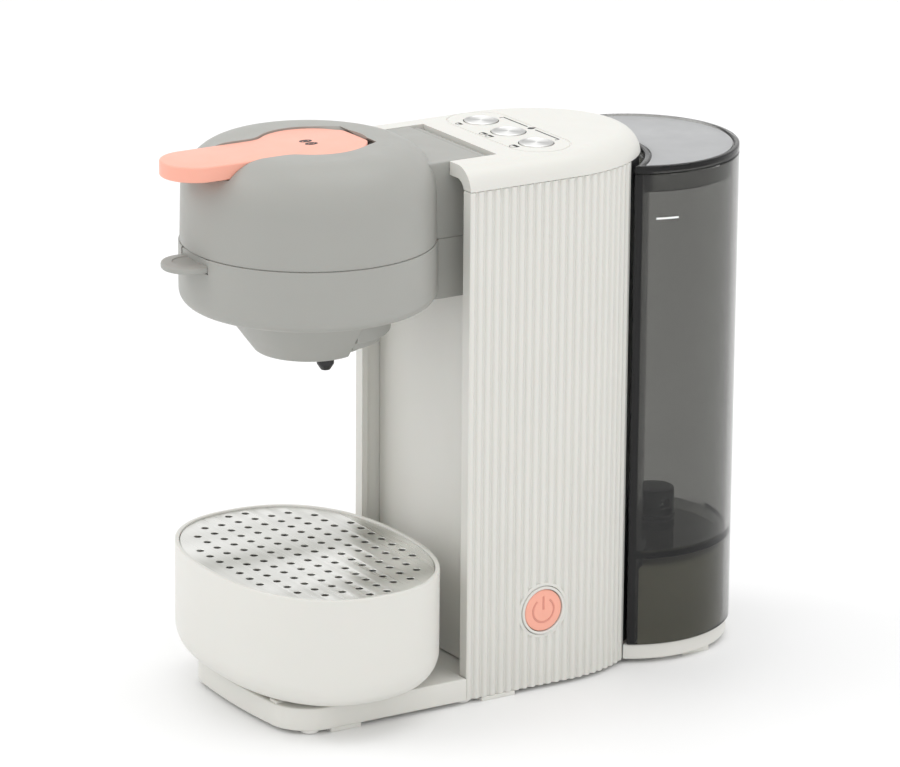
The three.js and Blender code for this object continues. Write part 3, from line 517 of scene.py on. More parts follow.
def moulded(name, colour, roughness, grain, grain_depth, coat=0.0):
    """Injection-moulded plastic: fine mould grain, faint tone drift, uneven gloss."""
    made = Material(name, colour, roughness)
    made.vary_colour(made.noise(35, 3), darker(colour, 0.965))
    made.vary_roughness(made.noise(90, 4), roughness * 0.88, roughness * 1.12)
    made.bump(made.noise(grain, 2), 0.25, grain_depth)
    made.set("Coat Weight", coat)
    made.set("Coat Roughness", 0.25)
    made.set("Subsurface Weight", 0.04)
    made.set("Subsurface Scale", 0.002)
    return made.data


# How fast light dims inside the smoked plastic, per metre.
SMOKE_DENSITY = 60.0


def clear_tinted(name, colour, roughness, clearness=1.0):
    made = Material(name, colour, roughness)
    made.set("Transmission Weight", clearness)
    made.set("IOR", 1.4)
    made.vary_roughness(made.noise(60, 3), roughness, roughness * 1.6)
    depth = made.node("ShaderNodeVolumeAbsorption")
    depth.inputs["Color"].default_value = (0, 0, 0, 1)
    depth.inputs["Density"].default_value = SMOKE_DENSITY
    made.link(depth.outputs["Volume"], made.tree.nodes["Material Output"].inputs["Volume"])
    return made.data


# How often brushed streaks change along and across them, per metre.
STREAK_ALONG, STREAK_ACROSS = 6, 900


def brushed(name, colour, roughness):
    """Sheet steel brushed along X."""
    made = Material(name, colour, roughness, 1.0)
    made.set("Anisotropic", 0.5)
    streaks = made.noise(1.0, 3, made.stretched(STREAK_ALONG, STREAK_ACROSS, STREAK_ACROSS))
    made.vary_roughness(streaks, roughness * 0.7, roughness * 1.35)
    made.vary_colour(streaks, darker(colour, 0.86))
    made.bump(streaks, 0.12, 0.00002)
    return made.data


def painted_sheen_sheet(name, colour, shaded, roughness):
    """Brushed sheet with broad, soft bands of painted sheen: its colour blends between bright and shaded
    across tilted bands, a painted highlight and shade.
    """
    made = Material(name, colour, roughness, 1.0)
    # Broad tilted noise bands, below, blend the colour towards shaded: painted bands of sheen, bright and
    # shaded.
    mapping = made.node("ShaderNodeMapping")
    mapping.inputs["Rotation"].default_value = (0, 0, math.radians(38))
    mapping.inputs["Scale"].default_value = (26, 4, 1)
    made.link(made.place, mapping.inputs["Vector"])
    made.vary_colour(made.ranged(made.noise(1.0, 1, mapping.outputs["Vector"]), 0.0, 1.0), shaded)
    streaks = made.noise(1.0, 3, made.stretched(STREAK_ALONG, STREAK_ACROSS, STREAK_ACROSS))
    made.vary_roughness(streaks, roughness * 0.7, roughness * 1.3)
    made.bump(streaks, 0.1, 0.000005)
    return made.data


def spun_painted_fans(name, colour, shaded, roughness, x, y):
    """Turned metal about a vertical axis: fine rings as bumps, and the fan of light and shade that such
    rings make, painted into the colour as painted highlight and shade.
    """
    made = Material(name, colour, roughness, 1.0)
    centred = made.node("ShaderNodeMapping")
    centred.inputs["Location"].default_value = (-x, -y, 0)
    made.link(made.place, centred.inputs["Vector"])
    fan = made.node("ShaderNodeTexGradient", gradient_type="RADIAL")
    made.link(centred.outputs["Vector"], fan.inputs["Vector"])
    # The gradient runs from 0 to 1 in a turn, so this gives two bright and two dark fans of painted
    # highlight and shade.
    wave = made.node("ShaderNodeMath", operation="MULTIPLY")
    wave.inputs[1].default_value = 2 * FULL
    made.link(fan.outputs["Fac"], wave.inputs[0])
    swing = made.node("ShaderNodeMath", operation="SINE")
    made.link(wave.outputs["Value"], swing.inputs[0])
    share = made.node("ShaderNodeMapRange")
    share.inputs["From Min"].default_value = -1
    share.inputs["To Max"].default_value = 1
    made.link(swing.outputs["Value"], share.inputs["Value"])
    made.vary_colour(share.outputs["Result"], shaded)
    rings = made.node("ShaderNodeTexWave", wave_type="RINGS", rings_direction="Z")
    rings.inputs["Scale"].default_value = 700
    made.link(centred.outputs["Vector"], rings.inputs["Vector"])
    made.bump(rings.outputs["Fac"], 0.15, 0.00003)
    return made.data


def rubbery(name, colour):
    made = Material(name, colour, 0.75)
    made.vary_roughness(made.noise(200, 3), 0.65, 0.85)
    made.bump(made.noise(1500, 2), 0.3, 0.00003)
    return made.data


def cast(name, colour):
    made = Material(name, colour, 0.45, 1.0)
    made.vary_roughness(made.noise(300, 4), 0.35, 0.6)
    made.bump(made.noise(700, 4), 0.5, 0.00008)
    return made.data


def coated_board(name, colour):
    made = Material(name, colour, 0.35)
    made.vary_colour(made.noise(220, 1), darker(colour, 0.6))
    made.set("Coat Weight", 0.5)
    return made.data


WHITE = moulded("white_plastic", linear(219, 218, 212), 0.38, 1400, 0.00003, 0.1)
GREY = moulded("grey_plastic", linear(161, 161, 156), 0.46, 1700, 0.00005)
CORAL = moulded("coral_plastic", linear(245, 174, 153), 0.4, 1500, 0.00003, 0.1)
# A deeper coral for the power symbol's grooves: painted shade.
CORAL_GROOVE_SHADE = moulded("coral_groove_shade", linear(222, 152, 136), 0.45, 1500, 0.00003)
BLACK = moulded("black_plastic", linear(24, 24, 26), 0.35, 1500, 0.00003)
COVER_BLACK = moulded("cover_black", linear(26, 26, 28), 0.4, 1500, 0.000004)
DARK = moulded("dark_plastic", linear(62, 62, 62), 0.5, 1500, 0.00003)
OLIVE = moulded("pedestal_grey", linear(214, 211, 184), 0.55, 1500, 0.00003)
PRINT = moulded("print_black", linear(22, 22, 24), 0.5, 1500, 0.00001)
MARK = moulded("mark_white", linear(250, 250, 250), 0.5, 1500, 0.00001)
SMOKE = clear_tinted("smoked_tank", linear(169, 169, 166), 0.002)
FROSTED = clear_tinted("frosted_smoke", linear(196, 197, 198), 0.35, 0.35)
STEEL = brushed("brushed_steel", linear(205, 205, 200), 0.3)
# The grille's two colours are the bright and the shaded bands of its painted sheen.
GRILLE = painted_sheen_sheet("grille_steel", linear(252, 252, 249), linear(196, 196, 190), 0.36)
PIN_STEEL = brushed("pin_steel", linear(200, 200, 200), 0.25)
ALUMINIUM = cast("cast_aluminium", linear(190, 192, 194))
SILICONE = rubbery("silicone", linear(214, 208, 196))
RUBBER = rubbery("rubber", linear(38, 38, 38))
FOOT = rubbery("foot_rubber", linear(225, 224, 220))
BOARD = coated_board("circuit_board", linear(26, 92, 52))
# Each key's turned finish, with its painted fans, is made with the key, because it is centred on it.
# KEY_BRIGHT and KEY_SHADED are the painted highlight and shade of those fans.
KEY_BRIGHT, KEY_SHADED = linear(252, 252, 250), linear(188, 188, 186)


# ---------- hanging pieces on the frame ----------
def piece(obj, body, slot, material, *nodes):
    """Moves a finished shape into the row frame and hangs it on its CAD body, in place of any nodes."""
    obj.data.transform(Matrix.Diagonal((MM, MM, MM, 1)) @ Matrix.Translation((0, HEAD_Y, 0)))
    obj.data.materials.clear()
    obj.data.materials.append(material)
    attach(obj, body)
    if nodes:
        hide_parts(*nodes)
    return obj


def dress(node, material, edge):
    """Keeps a CAD node, with a finer edge and a real finish."""
    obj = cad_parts[node]
    obj.data.materials.clear()
    obj.data.materials.append(material)
    add_bevel(obj, edge, 2)
    smooth = obj.modifiers.new("weighted", "WEIGHTED_NORMAL")
    smooth.keep_sharp = True


# ---------- base ----------
BASE_FLOOR, BASE_TOP, BASE_REAR_TOP, BASE_REAR_RADIUS = 2.0, 13.0, 9.5, 48.5
APRON_CORNER, APRON_BULGE = 20.0, 1.5
# Half the width between the side panels, and how far inside the column's plan that is.
INNER_HALF, INNER_INSET = 43.9, 4.3
# (x, y, length, top) of each moulded pad on one side.
FOOT_PADS = ((45, -9, 16, 2.6), (45.3, 73, 18, 2.0), (40, 187, 15, 2.6))
PAD_HALF, DOME_AHEAD = 5.0, 8.0
RIB_HALF, RIB_SPACING, RIB_RISE = 3.0, 16.0, 1.2


def apron_line():
    """The plate in front of the column: rounded corners and a slightly bowed front edge."""
    half, back = COLUMN_HALF, COLUMN_FRONT - GAP
    straight = half - APRON_CORNER
    side_y = low("base_plate").y + APRON_BULGE
    bow = [(straight * t, side_y - APRON_BULGE * (1 - t * t)) for t in (i / 8 for i in range(-7, 8))]
    left = arc(-straight, side_y + APRON_CORNER, APRON_CORNER, 180, 270, 14)
    right = arc(straight, side_y + APRON_CORNER, APRON_CORNER, 270, 360, 14)
    return [(half, back), (-half, back), *left, *bow, *right]


def rear_ring():
    """The round plate under the tank, hollowed where the column's nose stands."""
    ring = turned("rear_ring", [
        (0, BASE_FLOOR, 0), (BASE_REAR_RADIUS, BASE_FLOOR, 1),
        (BASE_REAR_RADIUS, BASE_REAR_TOP, 0.8), (0, BASE_REAR_TOP, 0),
    ], 0, TANK_Y, 120)
    return cut(ring, slab("nose_room", column_line(-GAP, COLUMN_FRONT), 0, 30, 0.01))


def apron_ribs():
    """Short ribs near the apron's front edge, under the tray."""
    front, top = low("base_plate").y, BASE_TOP + RIB_RISE
    return [
        block("rib", x - RIB_HALF, x + RIB_HALF, front + 2.6, front + 8, BASE_TOP - 1, top, 0.3)
        for x in (i * RIB_SPACING for i in range(-2, 3))
    ]


def build_base():
    middle_back, under_front = 70.0, 58.7
    link_half, link_front, link_back = 26.0, 140.0, 180.0
    groove_half, groove_front, groove_back, groove_floor = 4.6, 134.0, 196.0, 2.9
    base = slab("base_plate", apron_line(), BASE_FLOOR, BASE_TOP, 0.8)
    middle = block(
        "middle", -INNER_HALF, INNER_HALF, COLUMN_FRONT - 4, middle_back, BASE_FLOOR + 0.5, BASE_TOP - 0.5,
    )
    under = slab("under", column_line(INNER_INSET, under_front), BASE_FLOOR + 0.2, BASE_TOP - 0.5, 0.2)
    link = block("link", -link_half, link_half, link_front, link_back, BASE_FLOOR + 0.2, BASE_REAR_TOP - 0.3)
    groove = block("groove", -groove_half, groove_half, groove_front, groove_back, groove_floor, 20)
    base = join(base, middle, under, rear_ring(), link)
    base = cut(join(base, *apron_ribs()), groove)
    piece(base, "machine", "white_plastic", WHITE, "base_plate")


def build_feet():
    """Moulded pads, each with a small rubber dome ahead of it."""
    dome_line = [(0, 0.1, 0), (4.2, 0.1, 1.4), (4.6, 2.4, 0), (0, 2.4, 0)]
    for x, y, length, top in FOOT_PADS:
        for side, side_name in ((1, "right"), (-1, "left")):
            tag = f"{side_name}_{y}"
            front, back = y - length / 2, y + length / 2
            middle = side * x
            pad = block("foot_block_" + tag, middle - PAD_HALF, middle + PAD_HALF, front, back, 0, top, 0.35)
            piece(pad, "machine", "white_plastic", WHITE)
            dome = turned("foot_dome_" + tag, dome_line, side * (x - 1), front - DOME_AHEAD, 40)
            piece(dome, "machine", "rubber", FOOT)


def build_pedestal():
    low_z, high_z = low("tank_pedestal").z, high("tank_pedestal").z
    inset, wall, fillet = 3.5, 2.5, 2.0
    rings = [ring_at(tank_line(inset), low_z)]
    rings += [ring_at(tank_line(inset + a), high_z - fillet + b) for a, b in quarter(fillet, 6)]
    solid = loft("tank_pedestal", rings)
    inside = tank_line(inset + wall)
    hollow = loft("hollow", [ring_at(inside, low_z - 5), ring_at(inside, high_z - wall)])
    port = drum("port", 5, high_z - 10, high_z + 10, 0, VALVE_Y)
    piece(cut(solid, hollow, port), "machine", "grey_plastic", OLIVE, "tank_pedestal")


# ---------- column ----------
FLUTE_PITCH, FLUTE_DEPTH, FLUTE_SAMPLES = 4.45, 1.15, 14
# Share of each flute's pitch that its crown takes; the groove has the rest.
CROWN_SHARE = 0.62
PANEL_WALL, LIP_REACH, LIP_THICKNESS = 4.0, 6.3, 3.0
POWER_Y, POWER_Z = 96.8, 39.0
GLAND_Y, GLAND_Z = 100.0, 24.0


def nose_lengths(end_y, samples=240):
    """(distance from the panel's front edge, nose angle) pairs along the column's side."""
    end = math.asin((end_y - NOSE_Y) / NOSE_DEPTH)
    out = [(NOSE_Y - COLUMN_FRONT, 0.0)]
    for i in range(1, samples + 1):
        angle = end * i / samples
        step = math.dist(nose_point(angle, 0), nose_point(out[-1][1], 0))
        out.append((out[-1][0] + step, angle))
    return out


def side_point(lengths, distance, depth):
    """The point at a distance along the column's side, sunk by depth."""
    straight = lengths[0][0]
    if distance <= straight:
        return (COLUMN_HALF - depth, COLUMN_FRONT + distance)
    for (d0, a0), (d1, a1) in zip(lengths, lengths[1:]):
        if distance <= d1 + TINY:
            return nose_point(a0 + (a1 - a0) * (distance - d0) / (d1 - d0), depth)
    return nose_point(lengths[-1][1], depth)


def flute_depth(share):
    """Depth of the surface across one flute: a broad rounded crown, then a narrow round groove."""
    round_share = 0.22
    if share < CROWN_SHARE:
        u = 2 * share / CROWN_SHARE - 1
        fall = round_share * (1 - math.sqrt(1 - u * u)) + (0.5 - round_share) * abs(u) ** 3
        return FLUTE_DEPTH * fall
    u = 2 * (share - CROWN_SHARE) / (1 - CROWN_SHARE) - 1
    return FLUTE_DEPTH * (0.5 + 0.5 * math.sqrt(max(0, 1 - u * u)))


def build_side_panel(side):
    name = "side_panel_right" if side > 0 else "side_panel_left"
    lengths = nose_lengths(high(name).y)
    total, end = lengths[-1]
    count = round(total / FLUTE_PITCH) * FLUTE_SAMPLES
    outer = [
        side_point(lengths, total * i / count, flute_depth((i / FLUTE_SAMPLES) % 1.0))
        for i in range(count + 1)
    ]
    inner = [nose_point(end * (1 - i / 30), PANEL_WALL) for i in range(31)]
    wall_x, lip_x, lip_back = COLUMN_HALF - PANEL_WALL, COLUMN_HALF - LIP_REACH, COLUMN_FRONT + LIP_THICKNESS
    lip = [(wall_x, lip_back), (lip_x, lip_back), (lip_x, COLUMN_FRONT)]
    outline = [(side * x, y) for x, y in outer + inner + lip]
    panel = slab(name, outline, low(name).z, high(name).z, 0.35, resolution=1)
    button_hole, gland_hole = 11.9, 6.3
    if side > 0:
        boss = turned("boss", [(11, 46.6, 0), (13.3, 46.6, 0), (13.3, 50.4, 0.3), (11, 50.4, 0)], steps=3)
        hole = facing_x(drum("hole", button_hole, 40, 60), POWER_Y, POWER_Z)
        panel = cut(join(panel, facing_x(boss, POWER_Y, POWER_Z)), hole)
    else:
        panel = cut(panel, facing_x(drum("hole", gland_hole, -60, -40), GLAND_Y, GLAND_Z))
    piece(panel, "machine", "white_plastic", WHITE, name)


def build_front_wall():
    """A flat panel with a slot at its top for the neck, and sloping shoulders under the cap."""
    (_, front, bottom), (half, back, top) = BOX["column_front_wall"]
    slot_half, sill, shoulder = 32.1, 190.2, 242.0
    right = [
        (slot_half, sill, 1.5), (slot_half, top, 0.3), (half - 8, top, 2),
        (half, shoulder, 6), (half, bottom, 0.5),
    ]
    left = [(-x, z, corner) for x, z, corner in reversed(right)]
    wall = moved(slab("column_front_wall", rounded(left + right), front - back, 0, 0.4), STAND_UP)
    wall = moved(wall, Matrix.Translation((0, front, 0)))
    piece(wall, "machine", "white_plastic", WHITE, "column_front_wall")


def build_rear_cover():
    (_, front, bottom), (_, _, top) = BOX["column_rear_cover"]
    inset, wall, steps = 0.6, 2.5, 60
    start = math.asin((front - NOSE_Y) / NOSE_DEPTH)
    angles = [start + (math.pi - 2 * start) * i / steps for i in range(steps + 1)]
    outer = [nose_point(a, inset) for a in angles]
    inner = [nose_point(a, inset + wall) for a in reversed(angles)]
    cover = slab("column_rear_cover", outer + inner, bottom, top, 0.3)
    piece(cover, "machine", "dark_plastic", COVER_BLACK, "column_rear_cover")


CAP_FILLET = 12.0
KEY_Y, KEY_PITCH, KEY_HOLE = 106.9, 23.8, 8.4
KEYS = {"key_one_cup": -KEY_PITCH, "key_two_cups": 0.0, "key_strong": KEY_PITCH}


def roof(name, skin, bottom=None):
    """The column's domed top, thinned by skin: its plan drawn in along a quarter circle."""
    top, seam = high("column_cap").z, low("column_cap").z
    front, radius, centre = COLUMN_FRONT - 10, CAP_FILLET - skin, top - CAP_FILLET
    start = 0 if skin else math.asin(max(-1, (seam - centre) / CAP_FILLET))
    steps = 14
    rings = []
    if bottom is not None:
        rings.append(ring_at(column_line(skin, front), bottom))
    for i in range(steps + 1):
        a = start + (math.pi / 2 - start) * i / steps
        plan = column_line(skin + radius * (1 - math.cos(a)), front)
        rings.append(ring_at(plan, centre + radius * math.sin(a)))
    return loft(name, rings)


def build_cap():
    seam, top = low("column_cap").z, high("column_cap").z
    cap = cut(roof("column_cap", 0), ahead(COLUMN_FRONT))
    inner = cut(roof("inner", LIP_THICKNESS, seam - 5), ahead(COLUMN_FRONT + LIP_THICKNESS))
    mouth = roof("mouth", LIP_REACH, seam - 5)
    notch_half, notch_back = 32, 80.4
    notch = block("notch", -notch_half, notch_half, 0, notch_back, seam - 20, 300)
    holes = [drum("hole", KEY_HOLE, 200, 300, x, KEY_Y) for x in KEYS.values()]
    cap = cut(cap, inner, mouth, notch, *holes)
    half, reach, corner = 40, 15, 14.9
    corners_at = [(-half, -reach), (half, -reach), (half, reach), (-half, reach)]
    stadium = rounded([(x, KEY_Y + y, corner) for x, y in corners_at], 16)
    groove = tube("groove", [(x, y, top + 0.05) for x, y in stadium], 0.5, 8, True)
    piece(cut(cap, groove), "machine", "white_plastic", WHITE, "column_cap")


def build_keys():
    top = high("key_two_cups").z
    disc_line = [
        (0, top - 3.5, 0), (8, top - 3.5, 0.2), (8, top - 0.1, 0.35), (6.9, top, 0.2),
        (6.4, top - 0.35, 0.2), (0, top - 0.15, 0),
    ]
    for name, x in KEYS.items():
        disc = turned(name, disc_line, x, KEY_Y, steps=4)
        stem = drum("stem", 2.5, low(name).z, top - 3, x, KEY_Y, 24)
        # The key's finish paints bright and shaded fans into its colour: painted highlight and shade.
        centre = (x * MM, (KEY_Y + HEAD_Y) * MM)
        finish = spun_painted_fans("spun_" + name, KEY_BRIGHT, KEY_SHADED, 0.28, *centre)
        piece(join(disc, stem), name, "steel", finish, name)


# ---------- printed marks ----------
def inlay(name, outline, z, holes=(), body="machine"):
    """A printed mark: a film just proud of the surface."""
    film = slab(name, outline, z - 0.05, z + 0.06, 0.02, holes, 0)
    return piece(film, body, "black_plastic", PRINT)


def stroke(line, width):
    """The outline of an open line drawn with a flat pen."""
    left, right = [], []
    for i, point in enumerate(line):
        a = Vector(line[max(i - 1, 0)])
        b = Vector(line[min(i + 1, len(line) - 1)])
        side = (b - a).normalized().orthogonal() * width / 2
        left.append(tuple(Vector(point) + side))
        right.append(tuple(Vector(point) - side))
    return left + right[::-1]


def cup_outline(x, y, size):
    """A small cup seen from the side, drawn as one stroke, with its mouth towards +Y."""
    rim_left, rim_right = (x - size, y + size * 0.7), (x + size, y + size * 0.7)
    return stroke([rim_left, *arc(x, y, size, 180, 360, 10), rim_right, rim_left], 0.38)


def build_marks():
    top = high("column_cap").z
    cups_y, bracket_y = KEY_Y - 12, KEY_Y + 12.5
    for side, name in ((-1, "mark_cup_small"), (1, "mark_cup_large")):
        inlay(name, cup_outline(side * KEY_PITCH, cups_y, 1.9 + 0.3 * side), top)
    for side, name in ((-1, "mark_cups_a"), (1, "mark_cups_b")):
        inlay(name, cup_outline(side * 2.6, cups_y, 1.9), top)
    for side, name in ((-1, "mark_bracket_left"), (1, "mark_bracket_right")):
        near, far = side * 3.5, side * KEY_PITCH
        inlay(name, stroke([(near, bracket_y), (far, bracket_y), (far, bracket_y - 2.2)], 0.8), top)
    inlay("mark_drop", [(0, bracket_y + 2.6), *arc(0, bracket_y - 0.2, 1.6, 30, -210, 12)], top)


# ---------- power button and cord gland ----------
def build_power():
    """Drawn about Z and turned to face +X, which brings the drawing's -X side to the top."""
    face, rim = high("power_button").x, high("power_bezel").x
    bezel = turned("power_bezel", [
        (10.3, 45.5, 0), (11.6, 45.5, 0), (11.6, rim, 0.5), (10.3, rim - 0.2, 0.3),
    ], steps=4)
    piece(facing_x(bezel, POWER_Y, POWER_Z), "machine", "white_plastic", WHITE, "power_bezel")
    button = turned("power_button", [
        (0, 43, 0), (4, 43, 0.2), (4, 46.8, 0.2), (10, 46.8, 0.2), (10, face - 0.25, 0.6), (0, face, 0),
    ], steps=5)
    ring = arc(0, 0, 5.7, 216, 504, 32)
    groove_z, shade_fill_z = face + 0.1, face - 0.4
    ring_groove = tube("groove", [(x, y, groove_z) for x, y in ring], 0.65, 8)
    bar_groove = tube("bar", [(-0.4, 0, groove_z), (-6.8, 0, groove_z)], 0.65, 8)
    button = facing_x(cut(button, ring_groove, bar_groove), POWER_Y, POWER_Z)
    piece(button, "power_button", "coral_plastic", CORAL, "power_button")
    # Deeper coral tubes fill the bottoms of the symbol's grooves: painted shade in the grooves.
    groove_shade_lines = {
        "power_groove_shade_ring": [(x, y, shade_fill_z) for x, y in ring],
        "power_groove_shade_bar": [(-0.6, 0, shade_fill_z), (-6.6, 0, shade_fill_z)],
    }
    for name, line in groove_shade_lines.items():
        shade_fill = facing_x(tube(name, line, 0.5, 8), POWER_Y, POWER_Z)
        piece(shade_fill, "power_button", "coral_plastic", CORAL_GROOVE_SHADE)


def build_gland():
    gland = turned("cord_gland", [
        (3.4, 43, 0), (6, 43, 0.3), (6, 50.8, 0), (8, 50.8, 0.4), (8, 53.5, 0.8), (3.4, 53.5, 0.6),
    ], segments=48, steps=4)
    gland = moved(facing_x(gland, 0, 0), Matrix.Rotation(math.pi, 4, "Z"))
    gland = moved(gland, Matrix.Translation((0, GLAND_Y, GLAND_Z)))
    piece(gland, "machine", "white_plastic", WHITE, "cord_gland")


# ---------- brew head ----------
SEAM_Z = 219.7
NECK_HALF, NECK_ROOM_HALF = 31.5, 29.0
TAB_TURN = Matrix.Rotation(math.radians(-3), 4, "Z")
TAB_HALF, TAB_TIP = 13.0, -73.0
KEEPER_X, KEEPER_FRONT, KEEPER_TOP = 24.0, -43.9, 230.0


def neck_bar(front, back, bottom, top, bottom_edge, top_edge):
    """A bar along Y, as wide as the neck, with rounded long edges."""
    section = rounded([
        (-NECK_HALF, bottom, bottom_edge), (NECK_HALF, bottom, bottom_edge),
        (NECK_HALF, top, top_edge), (-NECK_HALF, top, top_edge),
    ])
    return loft("neck_bar", [[(x, y, z) for x, z in section] for y in (front, back)])


def build_head():
    radius, bottom = high("head_body").x, low("head_body").z
    cup_line = [(0, bottom, 0), (radius, bottom, 7), (radius, SEAM_Z, 0.5), (0, SEAM_Z, 0)]
    cup = turned("head_body", cup_line, segments=160, steps=10)
    body = join(cup, neck_bar(42, 84, bottom + 0.5, SEAM_Z, 1.5, 0.5))
    floor, inside, shelf = bottom + 3, 55.5, 214
    hollow_line = [(0, floor), (inside - 4, floor), (inside, floor + 4), (inside, shelf), (0, shelf)]
    hollow = revolve("hollow", hollow_line)
    mouth_radius, spout_radius, hose_half, hose_z = 44.8, 33, 3.6, 205
    mouth = drum("mouth", mouth_radius, 205, 230)
    duct = block("duct", -NECK_ROOM_HALF, NECK_ROOM_HALF, 60, 90, floor, SEAM_Z - 2.5)
    hose_port = block("port", -hose_half, hose_half, 45, 62, hose_z - hose_half, hose_z + hose_half)
    spout_port = drum("spout_port", spout_radius, 180, 200, 0, BOWL_Y, 96)
    tab_room = moved(block("slot", -TAB_HALF - 0.5, TAB_HALF + 0.5, -80, -30, 213, 230), TAB_TURN)
    body = cut(body, hollow, mouth, duct, hose_port, spout_port, tab_room)
    front, top = KEEPER_FRONT, KEEPER_TOP
    keepers = []
    for x in (KEEPER_X, -KEEPER_X):
        keepers.append(block("keeper", x - 3.5, x + 3.5, front, front + 2.5, SEAM_Z - 1, top, 0.4))
        keepers.append(block("keeper_nose", x - 3.4, x + 3.4, front - 1.7, front + 1.9, top - 2, top, 0.3))
    piece(join(body, *keepers), "machine", "grey_plastic", GREY, "head_body", "head_neck")


def hole_rings(rings, radius):
    """Small round holes in rings of (ring radius, count)."""
    return [
        circle(ring * math.cos(FULL * i / count), ring * math.sin(FULL * i / count), radius, 10)
        for ring, count in rings
        for i in range(count)
    ]


def build_pod_holder():
    top, floor = high("pod_holder").z, 208.0
    dish = turned("pod_holder", [
        (2, floor - 2, 0.2), (34, floor - 2, 1.5), (34, top - 3, 0.6), (44, top - 3, 0.8),
        (44, top, 0.8), (33.5, top, 1.2), (32, floor, 1.5), (2, floor, 0.2),
    ], segments=120, steps=5)
    tab_y, tab_top = TAB_TIP + TAB_HALF, top - 1
    outline = [(TAB_HALF, -40), (-TAB_HALF, -40), *arc(0, tab_y, TAB_HALF, 180, 360, 32)]
    handle = slab("handle", outline, tab_top - 3.2, tab_top, 1.1)
    dimple = slab("dimple", circle(0, tab_y, 8, 48), tab_top - 0.35, tab_top + 3, 0.3)
    root_half = TAB_HALF + 0.2
    root = block("root", -root_half, root_half, -57.2, -42, tab_top - 3.4, SEAM_Z - 0.3, 0.4)
    tab = cut(moved(handle, TAB_TURN), moved(dimple, TAB_TURN))
    piece(join(dish, tab, moved(root, TAB_TURN)), "machine", "grey_plastic", GREY, "pod_holder")
    holes = [circle(0, 0, 2, 20), *hole_rings(((8, 8), (14, 14), (20, 20)), 0.8)]
    plate = circle(0, 0, 28, 96)
    sieve = slab("pod_sieve", plate, low("pod_sieve").z, high("pod_sieve").z, 0.1, holes, 1)
    piece(sieve, "machine", "steel", STEEL, "pod_sieve")


# ---------- bowl, spout and nozzles ----------
BOWL_Y, BOWL_FOOT_Z, BOWL_STEP_Z = 6.5, 172.5, 176.5
# The conical cover stops here, and the wider half of the bowl starts.
SHROUD_Y = 7.0
NOZZLE_X, NOZZLE_Y = 13.0, 1.4


def stepped_bowl(foot, side, inside):
    """The stepped bowl, full round."""
    rim_low, rim_high = 193.8, 196
    return turned("brew_bowl", [
        (0, BOWL_FOOT_Z, 0), (foot, BOWL_FOOT_Z, 0.8), (foot, BOWL_STEP_Z, 0.3), (side, BOWL_STEP_Z, 0.8),
        (side, rim_low, 0.2), (36, rim_low, 0.3), (36, rim_high, 0.3), (inside, rim_high, 0.3),
        (inside, 179, 1), (0, 175.5, 0),
    ], 0, BOWL_Y, 128, 5)


def build_shroud():
    """The conical cover over the front of the bowl, open behind and hollowed to clear the bowl."""
    top, bottom = high("spout_cover").z, low("spout_cover").z
    cone_line = [(0, bottom, 0), (24.5, bottom, 3), (41, top, 0), (0, top, 0)]
    outer = turned("spout_cover", cone_line, segments=128, steps=8)
    inner = revolve("inner", [(0, bottom + 2), (21, bottom + 2), (38.2, top + 1), (0, top + 1)])
    foot_z, step_z = BOWL_FOOT_Z - 0.05, BOWL_STEP_Z - 0.05
    room_line = [(0, foot_z), (26.35, foot_z), (26.35, step_z), (29.35, step_z), (29.35, 200), (0, 200)]
    room = revolve("room", room_line, 0, BOWL_Y, 128)
    ports = [drum("port", 4.3, 160, 171, side * NOZZLE_X, NOZZLE_Y, 48) for side in (1, -1)]
    shroud = cut(outer, inner, behind(SHROUD_Y), room, *ports)
    piece(shroud, "machine", "grey_plastic", GREY, "spout_cover")


def build_bowl():
    """Full width behind the shroud, and narrower inside it."""
    stub = drum("stub", 19.5, low("brew_bowl").z, BOWL_FOOT_Z + 0.5, 0, BOWL_Y, 96)
    stub = soften(cut(stub, ahead(SHROUD_Y + GAP)), 0.5)
    rear = cut(stepped_bowl(28, 32, 29.5), ahead(SHROUD_Y + 0.1))
    front = cut(stepped_bowl(26.3, 29.3, 27), behind(SHROUD_Y + 0.3))
    piece(join(rear, stub, front), "machine", "grey_plastic", GREY, "brew_bowl")


def build_nozzles():
    for side, name in ((-1, "outlet_nozzle_left"), (1, "outlet_nozzle_right")):
        tip = low(name).z
        nozzle = turned(name, [
            (1, tip + 0.6, 0), (1.6, tip, 0.2), (2.2, tip + 0.2, 0.2), (4, tip + 3, 0.6), (4, 170.3, 0),
            (5.4, 170.3, 0.2), (5.4, 171.5, 0.2), (1, 171.5, 0),
        ], side * NOZZLE_X, NOZZLE_Y, 48, 4)
        piece(nozzle, "machine", "black_plastic", BLACK, name)


# ---------- lid and lever ----------
LEVER_Y, LEVER_DISC, LEVER_HALF, LEVER_BLEND = 2.0, 25.0, 16.0, 12.0
LEVER_BOTTOM = low("lever").z
LEVER_CURL = 4.0
LEVER_PIN_Y, LEVER_PIN_Z = 24.0, high("lever").z - LEVER_CURL
LEVER_SWING, LEVER_ROOM = 60, 0.4
LID_HINGE_Y, LID_HINGE_Z, KNUCKLE = 76.0, 250.6, 4.0
ARM_TOP = 255.6
LATCH_PIN_Y, LATCH_PIN_Z = -43.5, 239.0


def lever_line(grow):
    """The lever's plan: a disc with a narrower round-ended handle, blended by concave arcs."""
    radius, half, fillet = LEVER_DISC + grow, LEVER_HALF + grow, LEVER_BLEND - grow
    reach = math.sqrt((radius + fillet) ** 2 - (half + fillet) ** 2)
    meet = math.degrees(math.atan2(-reach, half + fillet))
    tip = low("lever").y + LEVER_HALF
    line = arc(0, LEVER_Y, radius, meet, 180 - meet, 72)
    line += arc(-half - fillet, LEVER_Y - reach, fillet, -meet, 0, 14)
    line += arc(0, tip, half, 180, 360, 40)
    line += arc(half + fillet, LEVER_Y - reach, fillet, 180, 180 + meet, 14)
    return line


def across(name, radius, half, y, z, segments=48):
    """A round bar along X."""
    return facing_x(drum(name, radius, -half, half, segments=segments), y, z)


